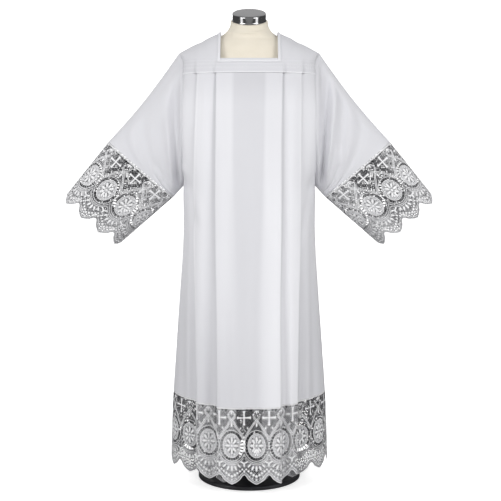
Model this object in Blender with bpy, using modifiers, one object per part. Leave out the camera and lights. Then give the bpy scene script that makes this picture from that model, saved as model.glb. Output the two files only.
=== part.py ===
"""Pleated alb with deep lace at the hem and cuffs, hanging on a limbless dress form.

Metres, +Z up. The origin is on the floor under the middle of the form, and the front faces -Y.
Every piece of cloth is an open surface worked out from the sizes below, thickened by Solidify.
"""

import math

import bmesh
import bpy
import numpy as np
from mathutils import Matrix, Vector, geometry

# Cloth
CLOTH_WALL = 0.0012
SEAM_GAP = 0.0003

# Heights on the robe
HEM_TIP_Z = 0.038
LACE_DEPTH = 0.232
LACE_TOP_Z = HEM_TIP_Z + LACE_DEPTH
HEM_RISE = 0.020
PLEAT_TOP_Z = 1.286
BAND_TOP_Z = 1.327

# The robe's plain outline at each height, without its pleats: half its width, how far it
# reaches to the front and to the back, and how far one layer of a pleat stands off the next.
BODY = np.array(
    [
        (0.030, 0.2530, 0.163, 0.170, 0.0140),
        (0.115, 0.2510, 0.160, 0.166, 0.0130),
        (0.254, 0.2455, 0.155, 0.160, 0.0113),
        (0.431, 0.2335, 0.148, 0.151, 0.0090),
        (0.600, 0.2215, 0.141, 0.143, 0.0068),
        (0.768, 0.2110, 0.135, 0.136, 0.0050),
        (0.940, 0.2090, 0.129, 0.130, 0.0040),
        (1.100, 0.2065, 0.124, 0.124, 0.0033),
        (1.286, 0.2050, 0.117, 0.118, 0.0027),
        (1.327, 0.2050, 0.109, 0.112, 0.0027),
    ],
    dtype=[(name, float) for name in ("height", "half_width", "front", "back", "layer")],
)
SQUARENESS = 2.4
# How fast the push of the open armhole dies out towards the middle
EDGE_FADE = 1.5

# Where each pleat's fold lies at each height, from the middle. right is the wearer's, on -X.
# The back's folds are the front's mirrored.
FOLDS = np.array(
    [
        (0.030, 0.1480, 0.0860, 0.0855, 0.136),
        (0.280, 0.1530, 0.0885, 0.0870, 0.140),
        (0.596, 0.1620, 0.0930, 0.0885, 0.147),
        (0.748, 0.1665, 0.0970, 0.0920, 0.153),
        (1.115, 0.1640, 0.0990, 0.0960, 0.157),
        (1.286, 0.1560, 0.0975, 0.0990, 0.158),
    ],
    dtype=[
        (name, float)
        for name in ("height", "right_outer", "right_inner", "left_inner", "left_outer")
    ],
)
# How far the cloth runs back under each fold
UNDERLAY = 0.050
# The band stands off the pleats below it: by this much a layer, over this much beside a fold.
BAND_CLEAR, BAND_RAMP = 0.0005, 0.016
BAND_TOP_SHARE = 0.25

# Armhole, an ellipse at the side of the body
ARMHOLE_Z = 1.1485
ARMHOLE_HALF_HEIGHT = 0.2085
ARMHOLE_HALF_WIDTH = 0.078
UNDERARM_Z = ARMHOLE_Z - ARMHOLE_HALF_HEIGHT
ARMHOLE_GAP = 0.0014

# Yoke over the shoulders
NECK_HALF_WIDTH = 0.0880
NECK_SHOULDER_Z = 1.4194
SHOULDER_END_Z = 1.357
SHOULDER_END_X = 0.218
SHOULDER_ROUNDING = 1.15
NAPE_SHARE = 0.60
BINDING_WIDTH = 0.008
BINDING_OUT = CLOTH_WALL + 2 * SEAM_GAP

# Sleeve and cuff, on the +X side; an end ring is an ellipse held by its middle, the vector
# from there to its upper edge, and half its depth.
CUFF_MIDDLE = Vector((0.3422, -0.008, 0.9935))
CUFF_UP = Vector((0.1018, 0.0, 0.0865))
CUFF_HALF_DEPTH = 0.052
END_MIDDLE = Vector((0.5038, -0.010, 0.8271))
END_UP = Vector((0.0855, 0.0, 0.0735))
END_HALF_DEPTH = 0.079
SLEEVE_SAG = 0.012
# How far a sleeve's rows run out from its armhole, and the least they spread over at the underarm
SLEEVE_REACH, SLEEVE_LEAST_RUN = 0.250, 0.06

# The hanging folds of each sleeve's front: how far out from the armhole their top and foot lie,
# and at which angle round the sleeve, half their width, and their depth (negative for a ridge).
SLEEVE_FOLDS = np.array(
    [
        (-1, 0.020, 0.022, 40, 165, 0.014, 0.020),
        (-1, 0.060, 0.075, 60, 150, 0.030, 0.006),
        (1, 0.0275, 0.0275, 20, 165, 0.0135, 0.026),
        (1, 0.047, 0.044, 25, 150, 0.012, -0.007),
        (1, 0.062, 0.095, 25, 105, 0.018, 0.008),
    ],
    dtype=[
        (name, float)
        for name in ("side", "top_out", "foot_out", "top_angle", "foot_angle", "half_width", "depth")
    ],
)
HIDDEN_FOLD_SHARE = 0.5
# Over which share of its length a fold fades at either end, and over which distance it fades
# towards the armhole and towards the cuff.
FOLD_FADE, FOLD_FADE_IN, FOLD_FADE_OUT = 0.25, 0.012, 0.06

# Lace: one repeat is a medallion with half a cross on either side of it.
LACE_PITCH = 0.076
HEM_CROSS_X = -0.016
CUFF_CROSS = 0.009
RING_V = 0.115
RING_HALF_WIDTH, RING_HALF_HEIGHT = 0.0360, 0.0455
SLOT_LENGTH, SLOT_WIDTH = 0.0090, 0.0052
SLOT_ANGLES = (28, 152, 208, 332)
HEADING_GAP_U, HEADING_GAP_TOP, HEADING_GAP_FOOT = 0.017, 0.0045, 0.0150
HEADING_GAP_WIDTH = 0.0095
JUNCTION_V, JUNCTION_HALF_WIDTH, JUNCTION_HALF_HEIGHT = 0.104, 0.0042, 0.0055
LEAST_STEP, SNAP = 0.004, 0.0010
# The scalloped edge, from the notch at a cross to the tip under a medallion.
SCALLOP = np.array(
    [(0.038, 0.2030), (0.0325, 0.2055), (0.0250, 0.2170), (0.0110, 0.2270), (0.0, 0.2320)],
    dtype=[("from_medallion", float), ("depth", float)],
)

# Dress form: its rings from the hip to the neck, with how far each leans forward.
FORM = np.array(
    [
        (0.8000, 0.150, 0.098, 0.100, 0.000, 0),
        (0.8120, 0.165, 0.110, 0.112, 0.000, 0),
        (0.8600, 0.174, 0.117, 0.120, 0.000, 0),
        (0.9400, 0.168, 0.111, 0.112, 0.000, 0),
        (1.0200, 0.156, 0.104, 0.100, 0.000, 0),
        (1.1200, 0.168, 0.109, 0.106, 0.000, 0),
        (1.2200, 0.186, 0.110, 0.110, 0.000, 0),
        (1.2900, 0.192, 0.102, 0.105, 0.000, 0),
        (1.3300, 0.192, 0.092, 0.093, 0.000, 0),
        (1.3550, 0.188, 0.080, 0.076, 0.000, 0),
        (1.3750, 0.166, 0.070, 0.064, 0.000, 0),
        (1.3900, 0.138, 0.060, 0.056, 0.000, 0),
        (1.4000, 0.114, 0.053, 0.052, 0.000, 1),
        (1.4110, 0.088, 0.051, 0.052, 0.000, 4),
        (1.4240, 0.072, 0.055, 0.054, 0.002, 10),
        (1.4380, 0.0625, 0.056, 0.056, 0.006, 18),
        (1.4590, 0.0585, 0.0585, 0.0585, 0.010, 23),
    ],
    dtype=[(name, float) for name in ("height", "half_width", "front", "back", "shift", "lean")],
)
FORM_SIDES = 24
CAP_RADIUS, CAP_HEIGHT, CAP_EDGE = 0.055, 0.026, 0.002
POLE_RADIUS = 0.0125
BASE_RADIUS, BASE_HEIGHT, BASE_EDGE = 0.165, 0.014, 0.003
SOCKET_RADIUS, SOCKET_TOP_RADIUS, SOCKET_HEIGHT, SOCKET_EDGE = 0.034, 0.019, 0.034, 0.003


def clear_scene():
    for obj in list(bpy.data.objects):
        bpy.data.objects.remove(obj, do_unlink=True)


def material(name, colour, roughness, metallic=0.0):
    made = bpy.data.materials.new(name)
    made.use_nodes = True
    shader = made.node_tree.nodes["Principled BSDF"]
    shader.inputs["Base Color"].default_value = (*colour, 1.0)
    shader.inputs["Roughness"].default_value = roughness
    shader.inputs["Metallic"].default_value = metallic
    return made


def add_object(name, points, faces, finish, collection):
    mesh = bpy.data.meshes.new(name)
    mesh.from_pydata([tuple(point) for point in points], [], faces)
    tidy = bmesh.new()
    tidy.from_mesh(mesh)
    bmesh.ops.remove_doubles(tidy, verts=tidy.verts, dist=0.00001)
    bmesh.ops.delete(tidy, geom=[vert for vert in tidy.verts if not vert.link_faces])
    tidy.to_mesh(mesh)
    tidy.free()
    mesh.shade_smooth()
    obj = bpy.data.objects.new(name, mesh)
    obj.data.materials.append(finish)
    collection.objects.link(obj)
    return obj


def cloth(name, points, faces, finish, collection):
    """An open surface, thickened evenly on both sides."""
    obj = add_object(name, points, faces, finish, collection)
    wall = obj.modifiers.new("wall", "SOLIDIFY")
    wall.thickness = CLOTH_WALL
    wall.offset = 0.0
    return obj


def grid_faces(rows, columns, flip=False, closed=False, left_out=()):
    """Quads between rows of points; closed joins the last column to the first."""
    faces = []
    for row in range(rows - 1):
        for column in range(columns if closed else columns - 1):
            if (row, column) in left_out:
                continue
            after = (column + 1) % columns
            quad = (
                row * columns + column,
                row * columns + after,
                (row + 1) * columns + after,
                (row + 1) * columns + column,
            )
            faces.append(quad[::-1] if flip else quad)
    return faces


def smooth(table, column, height):
    """A table's column at a height, on a smooth curve through its rows."""
    heights, values = table["height"], table[column]
    height = min(max(height, heights[0]), heights[-1])
    row = min(int(np.searchsorted(heights, height, side="right")) - 1, len(heights) - 2)
    slopes = np.gradient(values, heights)
    span = heights[row + 1] - heights[row]
    share = (height - heights[row]) / span
    start, end = values[row], values[row + 1]
    return (
        (2 * share**3 - 3 * share**2 + 1) * start
        + (share**3 - 2 * share**2 + share) * span * slopes[row]
        + (3 * share**2 - 2 * share**3) * end
        + (share**3 - share**2) * span * slopes[row + 1]
    )


def armhole_half_width(height):
    """Half the opening at a height: round over the shoulder, and pointed at the underarm."""
    from_middle = (height - ARMHOLE_Z) / ARMHOLE_HALF_HEIGHT
    power = 0.5 if from_middle > 0 else 0.5 + 0.4 * min(-from_middle, 1.0)
    across = max(1 - from_middle**2, 0.0) ** power
    return max(ARMHOLE_HALF_WIDTH * across, SEAM_GAP)


# ---------------------------------------------------------------- the body's section


def outline(side, turn, height):
    """A point of the plain outline, and its outward and forward directions, in plan.

    side is -1 for the front and 1 for the back. turn is 0 at the side seam on -X, a quarter
    turn at the middle and half a turn at the seam on +X.
    """

    def at(angle):
        width = smooth(BODY, "half_width", height)
        edge = armhole_half_width(height)
        reach = smooth(BODY, "front" if side < 0 else "back", height)
        power = 2 / SQUARENESS
        across = math.copysign(abs(math.cos(angle)) ** power, math.cos(angle))
        out = max(math.sin(angle), 0) ** power
        return Vector((-width * across, side * (reach * out + edge * (1 - out) ** EDGE_FADE)))

    step = 0.004
    here = at(turn)
    along = (at(min(turn + step, math.pi)) - at(max(turn - step, 0.0))).normalized()
    outward = Vector((along.y, -along.x)) * -side
    return here, outward, along


def turn_at(x, height):
    """The turn at which the plain outline is at x, on the half below the middle."""
    share = min(abs(x) / smooth(BODY, "half_width", height), 1.0)
    return math.acos(share ** (SQUARENESS / 2))


def fold_x(side, half, fold, height):
    """Where a fold lies at a height, from the middle; half is -1 on -X and 1 on +X."""
    hand = "right" if side * half > 0 else "left"
    return smooth(FOLDS, f"{hand}_{fold}", height)


# The cloth's way from the side seam to the middle: a run along the outline through the places
# named, or a turn back at one. Each starts from a layer, and a number is how many steps a
# mesh takes. The layers of one pleat bend at the same places, so they stay parallel.
WAY = (
    ("run", ("seam", 5, "outer", 2, "outer_under"), 0),
    ("turn", ("outer_under", 2), 0, 1),
    ("run", ("outer_under", 2, "outer"), 1),
    ("turn", ("outer", 2), 1, -1),
    ("run", ("outer", 2, "outer_under", 1, "inner", 2, "inner_under"), 2),
    ("turn", ("inner_under", 2), 2, 1),
    ("run", ("inner_under", 2, "inner"), 3),
    ("turn", ("inner", 2), 3, -1),
    ("run", ("inner", 2, "inner_under", 2, "middle"), 4),
)


def place_turn(side, half, place, height):
    """The outline's turn at a named place of the way."""
    if place == "seam":
        return 0.0
    if place == "middle":
        return math.pi / 2
    fold, _, under = place.partition("_")
    return turn_at(fold_x(side, half, fold, height) - (UNDERLAY if under else 0.0), height)


def way_point(side, half, place, height):
    """A point of one half's pleated section; place counts the way's stretches from its seam."""
    stretch = min(int(place), len(WAY) - 1)
    share = place - stretch
    kind, stops, depth, *way = WAY[stretch]
    layer = smooth(BODY, "layer", height)
    turns = [place_turn(side, half, stop, height) for stop in stops[::2]]
    if kind == "run":
        legs = len(turns) - 1
        turn = float(np.interp(share * legs, range(legs + 1), turns))
        here, outward, _ = outline(side, turn, height)
        point = here + outward * depth * layer
    else:
        here, outward, along = outline(side, turns[0], height)
        angle = math.pi * (share - 0.5)
        rise = depth * layer + layer / 2 * (1 + math.sin(angle))
        point = here + outward * rise + along * way[0] * layer / 2 * math.cos(angle)
    return Vector((-half * point.x, point.y))


class Half:
    """How far along its width one half of the cloth reaches at each place of its way."""

    SAMPLES = 30

    def __init__(self, side, half, height):
        self.side, self.half = side, half
        self.place = np.linspace(0, len(WAY), self.SAMPLES * len(WAY) + 1)
        found = [way_point(side, half, min(place, len(WAY) - 1e-6), height) for place in self.place]
        gaps = [0.0] + [(b - a).length for a, b in zip(found, found[1:])]
        self.length = np.cumsum(gaps)
        self.width = float(self.length[-1])

    def reach(self, place):
        return float(np.interp(place, self.place, self.length))

    def point(self, along, height):
        place = min(float(np.interp(along, self.length, self.place)), len(WAY) - 1e-6)
        flat = way_point(self.side, self.half, place, height)
        return Vector((flat.x, flat.y, height))

    def columns(self):
        """Distances from the seam for a mesh, at the steps that the way names."""
        found = [0.0]
        for stretch, (_, stops, *_) in enumerate(WAY):
            legs = stops[1::2]
            for leg, steps in enumerate(legs):
                for step in range(steps):
                    found.append(self.reach(stretch + (leg + (step + 1) / steps) / len(legs)))
        return found

    def turns(self):
        """The stretches of the cloth that lie in a fold."""
        stretches = [stretch for stretch, (kind, *_) in enumerate(WAY) if kind == "turn"]
        return [(self.reach(stretch), self.reach(stretch + 1)) for stretch in stretches]


class Cloth:
    """Where each metre of the pleated cloth lies, from the seam on -X to the one on +X."""

    def __init__(self, side, height):
        self.first, self.last = Half(side, -1, height), Half(side, 1, height)
        self.width = self.first.width + self.last.width

    def point(self, along, height):
        """The cloth at a distance along its width, at a height."""
        if along <= self.first.width:
            return self.first.point(along, height)
        return self.last.point(self.width - along, height)

    def columns(self):
        return self.first.columns() + [self.width - along for along in self.last.columns()[-2::-1]]

    def turns(self):
        mirrored = [(self.width - end, self.width - start) for start, end in self.last.turns()]
        return self.first.turns() + mirrored


PANEL_HEIGHTS = (0.43, 0.60, 0.78, UNDERARM_Z, 0.962, 1.03, 1.16, PLEAT_TOP_Z)


def lace_top(body_cloth, along):
    """Height of the seam between panel and lace, which rises towards the sides."""
    x = body_cloth.point(along, LACE_TOP_Z).x
    return LACE_TOP_Z + HEM_RISE * (abs(x) / 0.25) ** 2.5


def make_panel(name, side, finish, collection):
    body_cloth = Cloth(side, LACE_TOP_Z - LACE_DEPTH / 2)
    columns = body_cloth.columns()
    points = []
    for row, height in enumerate((None, *PANEL_HEIGHTS)):
        for along in columns:
            level = lace_top(body_cloth, along) + SEAM_GAP if height is None else height
            points.append(body_cloth.point(along, level))
    faces = grid_faces(len(PANEL_HEIGHTS) + 1, len(columns), flip=side > 0)
    return cloth(name, points, faces, finish, collection)


# ---------------------------------------------------------------- lace


def scallop_depth(from_cross):
    """Depth of the lace's edge at a distance from a cross, along its top."""
    from_medallion = abs(from_cross % LACE_PITCH - LACE_PITCH / 2)
    order = np.argsort(SCALLOP["from_medallion"])
    return float(
        np.interp(from_medallion, SCALLOP["from_medallion"][order], SCALLOP["depth"][order])
    )


def gaps_of_repeat():
    """The largest gaps of one repeat, as corners from its medallion's line and the lace's top."""
    between = LACE_PITCH / 2
    gaps = [
        [
            (between - JUNCTION_HALF_WIDTH, JUNCTION_V - JUNCTION_HALF_HEIGHT),
            (between + JUNCTION_HALF_WIDTH, JUNCTION_V - JUNCTION_HALF_HEIGHT),
            (between, JUNCTION_V + JUNCTION_HALF_HEIGHT),
        ]
    ]
    for way in (-1, 1):
        left = way * HEADING_GAP_U - HEADING_GAP_WIDTH / 2
        gaps.append(
            [
                (left, HEADING_GAP_TOP),
                (left + HEADING_GAP_WIDTH, HEADING_GAP_TOP),
                (way * HEADING_GAP_U, HEADING_GAP_FOOT),
            ]
        )
    for degrees in SLOT_ANGLES:
        angle = math.radians(degrees)
        middle = Vector((RING_HALF_WIDTH * math.sin(angle), RING_V - RING_HALF_HEIGHT * math.cos(angle)))
        out = Vector((math.sin(angle), -math.cos(angle)))
        across = Vector((-out.y, out.x))
        inner, outer = middle - out * SLOT_LENGTH, middle
        gaps.append(
            [
                tuple(inner - across * SLOT_WIDTH * 0.42),
                tuple(outer - across * SLOT_WIDTH / 2),
                tuple(outer + across * SLOT_WIDTH / 2),
                tuple(inner + across * SLOT_WIDTH * 0.42),
            ]
        )
    return gaps


def counter_clockwise(corners):
    area = sum(
        a[0] * b[1] - b[0] * a[1] for a, b in zip(corners, list(corners[1:]) + [corners[0]])
    )
    return list(corners) if area > 0 else list(corners)[::-1]


def snapped(along, columns):
    """A place moved onto a column that it nearly meets."""
    nearest = min(columns, key=lambda column: abs(column - along))
    return nearest if abs(nearest - along) < SNAP else along


def flat_lace(width, first_cross, columns, kept_clear):
    """The lace laid flat, from 0 to width: its points, and its triangles with the gaps left out.

    Each column is a line that the cloth bends along. A gap is left out where it would reach
    an end or one of the stretches kept clear, where the cloth turns back on itself.
    """
    repeats = range(-1, int(width / LACE_PITCH) + 2)
    width = round(width, 6)
    columns = sorted({0.0, width} | {round(along, 6) for along in columns})
    edge = list(columns)
    for repeat in repeats:
        medallion = first_cross + (repeat + 0.5) * LACE_PITCH
        for reach in SCALLOP["from_medallion"]:
            for along in (medallion - reach, medallion + reach):
                in_fold = any(start < along < end for start, end in kept_clear)
                apart = min(abs(along - known) for known in edge) > LEAST_STEP
                if 0 < along < width and apart and not in_fold:
                    edge.append(round(along, 6))
    foot = [(along, -scallop_depth(along - first_cross)) for along in sorted(edge)]
    top = [(along, 0.0) for along in columns[::-1]]
    corners = foot + top
    loops = [list(range(len(corners)))]
    for repeat in repeats:
        medallion = first_cross + (repeat + 0.5) * LACE_PITCH
        for gap in gaps_of_repeat():
            hole = [(snapped(medallion + u, columns), -v) for u, v in gap]
            low, high = min(u for u, _ in hole), max(u for u, _ in hole)
            margin = 0.0015
            if low < margin or high > width - margin:
                continue
            if any(low < end + margin and high > start - margin for start, end in kept_clear):
                continue
            loops.append(list(range(len(corners), len(corners) + len(hole))))
            corners += counter_clockwise(hole)
    lines = []
    for along in columns[1:-1]:
        lines.append((len(corners), len(corners) + 1))
        corners += [(along, 0.0), (along, -scallop_depth(along - first_cross))]
    points, _, faces, _, _, origins = geometry.delaunay_2d_cdt(
        [Vector(corner) for corner in corners], lines, loops, 1, 1e-6
    )
    kept = [list(face) for face, loop in zip(faces, origins) if list(loop) == [0]]
    return points, kept, len(loops) - 1


def make_lace(name, width, first_cross, columns, kept_clear, place, finish, collection):
    """Lace that is cut flat, then laid on a curved surface by place(along, down)."""
    points, faces, gaps = flat_lace(width, first_cross, columns, kept_clear)
    laid = [place(point.x, -point.y) for point in points]
    cloth(name, laid, faces, finish, collection)
    return gaps


def make_hem_lace(name, side, finish, collection):
    body_cloth = Cloth(side, LACE_TOP_Z - LACE_DEPTH / 2)
    folds = body_cloth.turns()
    columns = body_cloth.columns()
    width = body_cloth.width
    if side > 0:
        folds = [(width - end, width - start) for start, end in folds]
        columns = [width - along for along in columns]
    cross = (width / 2 + side * -1 * HEM_CROSS_X) % LACE_PITCH

    def place(along, down):
        along = width - along if side > 0 else along
        return body_cloth.point(along, lace_top(body_cloth, along) - down)

    return make_lace(name, width, cross, columns, folds, place, finish, collection)


# ---------------------------------------------------------------- bands and yoke


def plain_depth(side, x, height):
    """How far the plain outline reaches to the front or back at x."""
    here, _, _ = outline(side, turn_at(x, height), height)
    return abs(here.y)


def eased(share):
    share = min(max(share, 0.0), 1.0)
    return share * share * (3 - 2 * share)


def band_out(side, x, height):
    """How far a band stands off the plain outline, so that it clears the pleats below it."""
    half = -1 if x < 0 else 1
    folds = [fold_x(side, half, fold, PLEAT_TOP_Z) for fold in ("outer", "inner")]
    layers = 2 * sum(eased((fold - abs(x)) / BAND_RAMP + 1) for fold in folds)
    full = layers * (smooth(BODY, "layer", PLEAT_TOP_Z) + BAND_CLEAR)
    share = (BAND_TOP_Z - height) / (BAND_TOP_Z - PLEAT_TOP_Z)
    return full * (BAND_TOP_SHARE + (1 - BAND_TOP_SHARE) * share)


def band_point(side, turn, height, out=0.0):
    here, outward, _ = outline(side, turn, height)
    here = here + outward * (band_out(side, here.x, height) + out)
    return Vector((here.x, here.y, height))


BAND_STEPS = 9
YOKE_COLUMNS = (0.2015, 0.190, 0.168, 0.135)


def band_turns():
    """The band's columns, with one at each corner of the neck and of its binding."""
    wide = turn_at(NECK_HALF_WIDTH + BINDING_WIDTH, BAND_TOP_Z)
    half = [wide * step / BAND_STEPS for step in range(BAND_STEPS + 1)]
    half += [turn_at(x, BAND_TOP_Z) for x in (NECK_HALF_WIDTH, NECK_HALF_WIDTH / 2, 0.0)]
    return half + [math.pi - turn for turn in half[-2::-1]]


def make_band(name, side, finish, collection):
    heights = (PLEAT_TOP_Z + 2 * SEAM_GAP, BAND_TOP_Z - BINDING_WIDTH, BAND_TOP_Z)
    turns = band_turns()
    points = [band_point(side, turn, height) for height in heights for turn in turns]
    faces = grid_faces(len(heights), len(turns), flip=side > 0)
    return cloth(name, points, faces, finish, collection)


def shoulder_z(x):
    """Height of the shoulder line at x."""
    share = max(abs(x) - NECK_HALF_WIDTH, 0.0) / (SHOULDER_END_X - NECK_HALF_WIDTH)
    return NECK_SHOULDER_Z - (NECK_SHOULDER_Z - SHOULDER_END_Z) * share**SHOULDER_ROUNDING


def yoke_point(x, share):
    """The yoke at x; share is -1 at its front seam, 0 on the shoulder and 1 at its back seam."""
    side = -1 if share < 0 else 1
    foot = BAND_TOP_Z + 2 * SEAM_GAP
    edge = smooth(BODY, "half_width", BAND_TOP_Z)
    depth = plain_depth(side, min(abs(x), edge), BAND_TOP_Z) + band_out(side, x, BAND_TOP_Z)
    spread = 1 + (SHOULDER_END_X / edge - 1) * (abs(x) / edge) ** 4 * (1 - share**2)
    wide = math.copysign(min(abs(x), edge) * spread, x)
    return Vector((wide, depth * share, foot + (shoulder_z(wide) - foot) * (1 - share**2)))


def yoke_normal(x, share):
    step = 0.002
    across = yoke_point(x + step, share) - yoke_point(x - step, share)
    back = yoke_point(x, share + 0.01) - yoke_point(x, share - 0.01)
    return across.cross(back).normalized()


NAPE_BINDING_SHARE = NAPE_SHARE + 0.07
SIDE_ROWS = (-1.0, -0.90, -0.72, -0.50, -0.25, 0.0, 0.25, 0.44)
YOKE_ROWS = (*SIDE_ROWS, NAPE_SHARE, NAPE_BINDING_SHARE, 0.82, 1.0)


def make_yoke(name, finish, collection):
    edge = smooth(BODY, "half_width", BAND_TOP_Z)
    outer = (edge, *YOKE_COLUMNS, NECK_HALF_WIDTH + BINDING_WIDTH)
    inner = (NECK_HALF_WIDTH, NECK_HALF_WIDTH / 2)
    right = [*outer, *inner]
    xs = [-x for x in right] + [0.0] + right[::-1]
    points = [yoke_point(x, share) for share in YOKE_ROWS for x in xs]
    neck_first = len(outer)
    neck = range(neck_first, len(xs) - 1 - neck_first)
    open_rows = range(len(SIDE_ROWS))
    hole = {(row, column) for row in open_rows for column in neck}
    return cloth(name, points, grid_faces(len(YOKE_ROWS), len(xs), left_out=hole), finish, collection)


def make_binding(name, finish, collection):
    """A narrow strip laid on the edge of the square neck, all the way round."""
    neck, wide = NECK_HALF_WIDTH, NECK_HALF_WIDTH + BINDING_WIDTH
    foot = BAND_TOP_Z - BINDING_WIDTH

    def on_band(x, height):
        turn = turn_at(x, BAND_TOP_Z)
        return band_point(-1, math.pi - turn if x > 0 else turn, height, BINDING_OUT)

    def on_yoke(x, share):
        return yoke_point(x, share) + yoke_normal(x, share) * BINDING_OUT

    def half(way):
        """From the middle of the front to the middle of the nape, on one side."""
        corner = on_band(way * neck, BAND_TOP_Z)
        yield on_band(0.0, BAND_TOP_Z), on_band(0.0, foot)
        yield on_band(way * neck / 2, BAND_TOP_Z), on_band(way * neck / 2, foot)
        yield corner, on_band(way * neck, foot)
        yield corner, on_band(way * wide, foot)
        yield corner, on_yoke(way * wide, -1.0)
        for share in SIDE_ROWS[1:]:
            yield on_yoke(way * neck, share), on_yoke(way * wide, share)
        corner = on_yoke(way * neck, NAPE_SHARE)
        yield corner, on_yoke(way * wide, NAPE_SHARE)
        yield corner, on_yoke(way * wide, NAPE_BINDING_SHARE)
        yield corner, on_yoke(way * neck, NAPE_BINDING_SHARE)
        for x in (way * neck / 2, 0.0):
            yield on_yoke(x, NAPE_SHARE), on_yoke(x, NAPE_BINDING_SHARE)

    pairs = [*half(1), *list(half(-1))[-2:0:-1]]
    points = [pair[row] for row in (0, 1) for pair in pairs]
    return cloth(name, points, grid_faces(2, len(pairs), closed=True), finish, collection)


# ---------------------------------------------------------------- sleeves and cuffs


def ring_x(height):
    """The armhole seam's distance from the middle, on the sleeve's side of it."""
    plain = smooth(BODY, "half_width", min(height, BAND_TOP_Z))
    over = max(height - BAND_TOP_Z, 0.0) / (SHOULDER_END_Z - BAND_TOP_Z)
    return plain + (SHOULDER_END_X - plain) * min(over, 1.0) + ARMHOLE_GAP


def armhole_ring(angle):
    """The sleeve's inner end; angle 0 is the shoulder, a quarter turn its front."""
    height = ARMHOLE_Z + ARMHOLE_HALF_HEIGHT * math.cos(angle)
    forward = math.copysign(armhole_half_width(height), math.sin(angle))
    return Vector((ring_x(height), -forward, height))


def ellipse_ring(middle, up, half_depth, angle):
    return middle + up * math.cos(angle) + Vector((0, -half_depth * math.sin(angle), 0))


def cuff_ring(angle):
    return ellipse_ring(CUFF_MIDDLE, CUFF_UP, CUFF_HALF_DEPTH, angle)


def end_ring(angle):
    return ellipse_ring(END_MIDDLE, END_UP, END_HALF_DEPTH, angle)


def sleeve_share(angle, out):
    """The share of the way to the cuff at a distance out, which is crowded at the armhole."""
    way = cuff_ring(angle) - armhole_ring(angle)
    run = max(way.x, SLEEVE_LEAST_RUN)
    share = (1 - math.exp(-out / run)) / (1 - math.exp(-SLEEVE_REACH / run))
    return share * (1 - 2 * SEAM_GAP / way.length)


def fold_push(side, angle, out):
    """How far the sleeve's hanging folds push its wall in."""
    push = 0.0
    turned_to = math.degrees(angle)
    for fold in SLEEVE_FOLDS[SLEEVE_FOLDS["side"] == side]:
        top, foot = fold["top_angle"], fold["foot_angle"]
        down = (turned_to - top) / (foot - top)
        line = fold["top_out"] + (fold["foot_out"] - fold["top_out"]) * down
        across = math.exp(-(((out - line) / fold["half_width"]) ** 2))
        push += fold["depth"] * across * eased(down / FOLD_FADE) * eased((1 - down) / FOLD_FADE)
    return push * eased(out / FOLD_FADE_IN) * eased((SLEEVE_REACH - out) / FOLD_FADE_OUT)


def sleeve_point(side, angle, out):
    """The sleeve; out runs from 0 at its armhole to SLEEVE_REACH at its cuff seam."""
    share = sleeve_share(angle, out)
    point = armhole_ring(angle).lerp(cuff_ring(angle), share)
    point.z -= SLEEVE_SAG * max(math.cos(angle), 0.0) ** 2 * math.sin(math.pi * share)
    if math.sin(angle) > 0:
        point.y += fold_push(side, angle, out)
    else:
        point.y -= HIDDEN_FOLD_SHARE * fold_push(side, 2 * math.pi - angle, out)
    return Vector((side * point.x, point.y, point.z))


SLEEVE_COLUMNS = 24
SLEEVE_ROWS = (0.0, 0.014, 0.0275, 0.041, 0.060, 0.090, 0.135, 0.190, SLEEVE_REACH)


def make_sleeve(name, side, finish, collection):
    angles = [2 * math.pi * step / SLEEVE_COLUMNS for step in range(SLEEVE_COLUMNS)]
    points = [sleeve_point(side, angle, out) for out in SLEEVE_ROWS for angle in angles]
    faces = grid_faces(len(SLEEVE_ROWS), SLEEVE_COLUMNS, flip=side > 0, closed=True)
    return cloth(name, points, faces, finish, collection)


CUFF_COLUMNS = 12


def make_cuff_lace(name, side, face, finish, collection):
    """Half of a cuff's lace: face is 1 for its front and -1 for its back."""
    dense = np.linspace(0.0, math.pi, 241)
    ring = [cuff_ring(angle).lerp(end_ring(angle), 0.5) for angle in dense]
    length = np.cumsum([0.0] + [(b - a).length for a, b in zip(ring, ring[1:])])
    trim = 4 * SEAM_GAP
    width = float(length[-1]) - trim

    def place(along, down):
        angle = float(np.interp(along + trim / 2, length, dense)) * face
        share = SEAM_GAP / LACE_DEPTH + down / LACE_DEPTH
        point = cuff_ring(angle).lerp(end_ring(angle), share)
        return Vector((side * point.x, point.y, point.z))

    columns = [
        float(np.interp(math.pi * step / CUFF_COLUMNS, dense, length)) * width / float(length[-1])
        for step in range(CUFF_COLUMNS + 1)
    ]
    first = CUFF_CROSS if face > 0 else -CUFF_CROSS
    return make_lace(name, width, first, columns, (), place, finish, collection)


# ---------------------------------------------------------------- dress form


def form_ring(row):
    """One ring of the dress form, as points round it from +X."""
    lean = Matrix.Rotation(math.radians(row["lean"]), 3, "X")
    middle = Vector((0, row["shift"], row["height"]))
    ring = []
    for step in range(FORM_SIDES):
        angle = 2 * math.pi * step / FORM_SIDES
        reach = row["back"] if math.sin(angle) > 0 else row["front"]
        ring.append(
            middle + lean @ Vector((row["half_width"] * math.cos(angle), reach * math.sin(angle), 0))
        )
    return ring


def make_form(name, finish, collection):
    points = [point for row in FORM for point in form_ring(row)]
    faces = grid_faces(len(FORM), FORM_SIDES, closed=True)
    last = (len(FORM) - 1) * FORM_SIDES
    faces.append(tuple(range(FORM_SIDES))[::-1])
    faces.append(tuple(range(last, last + FORM_SIDES)))
    return add_object(name, points, faces, finish, collection)


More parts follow.
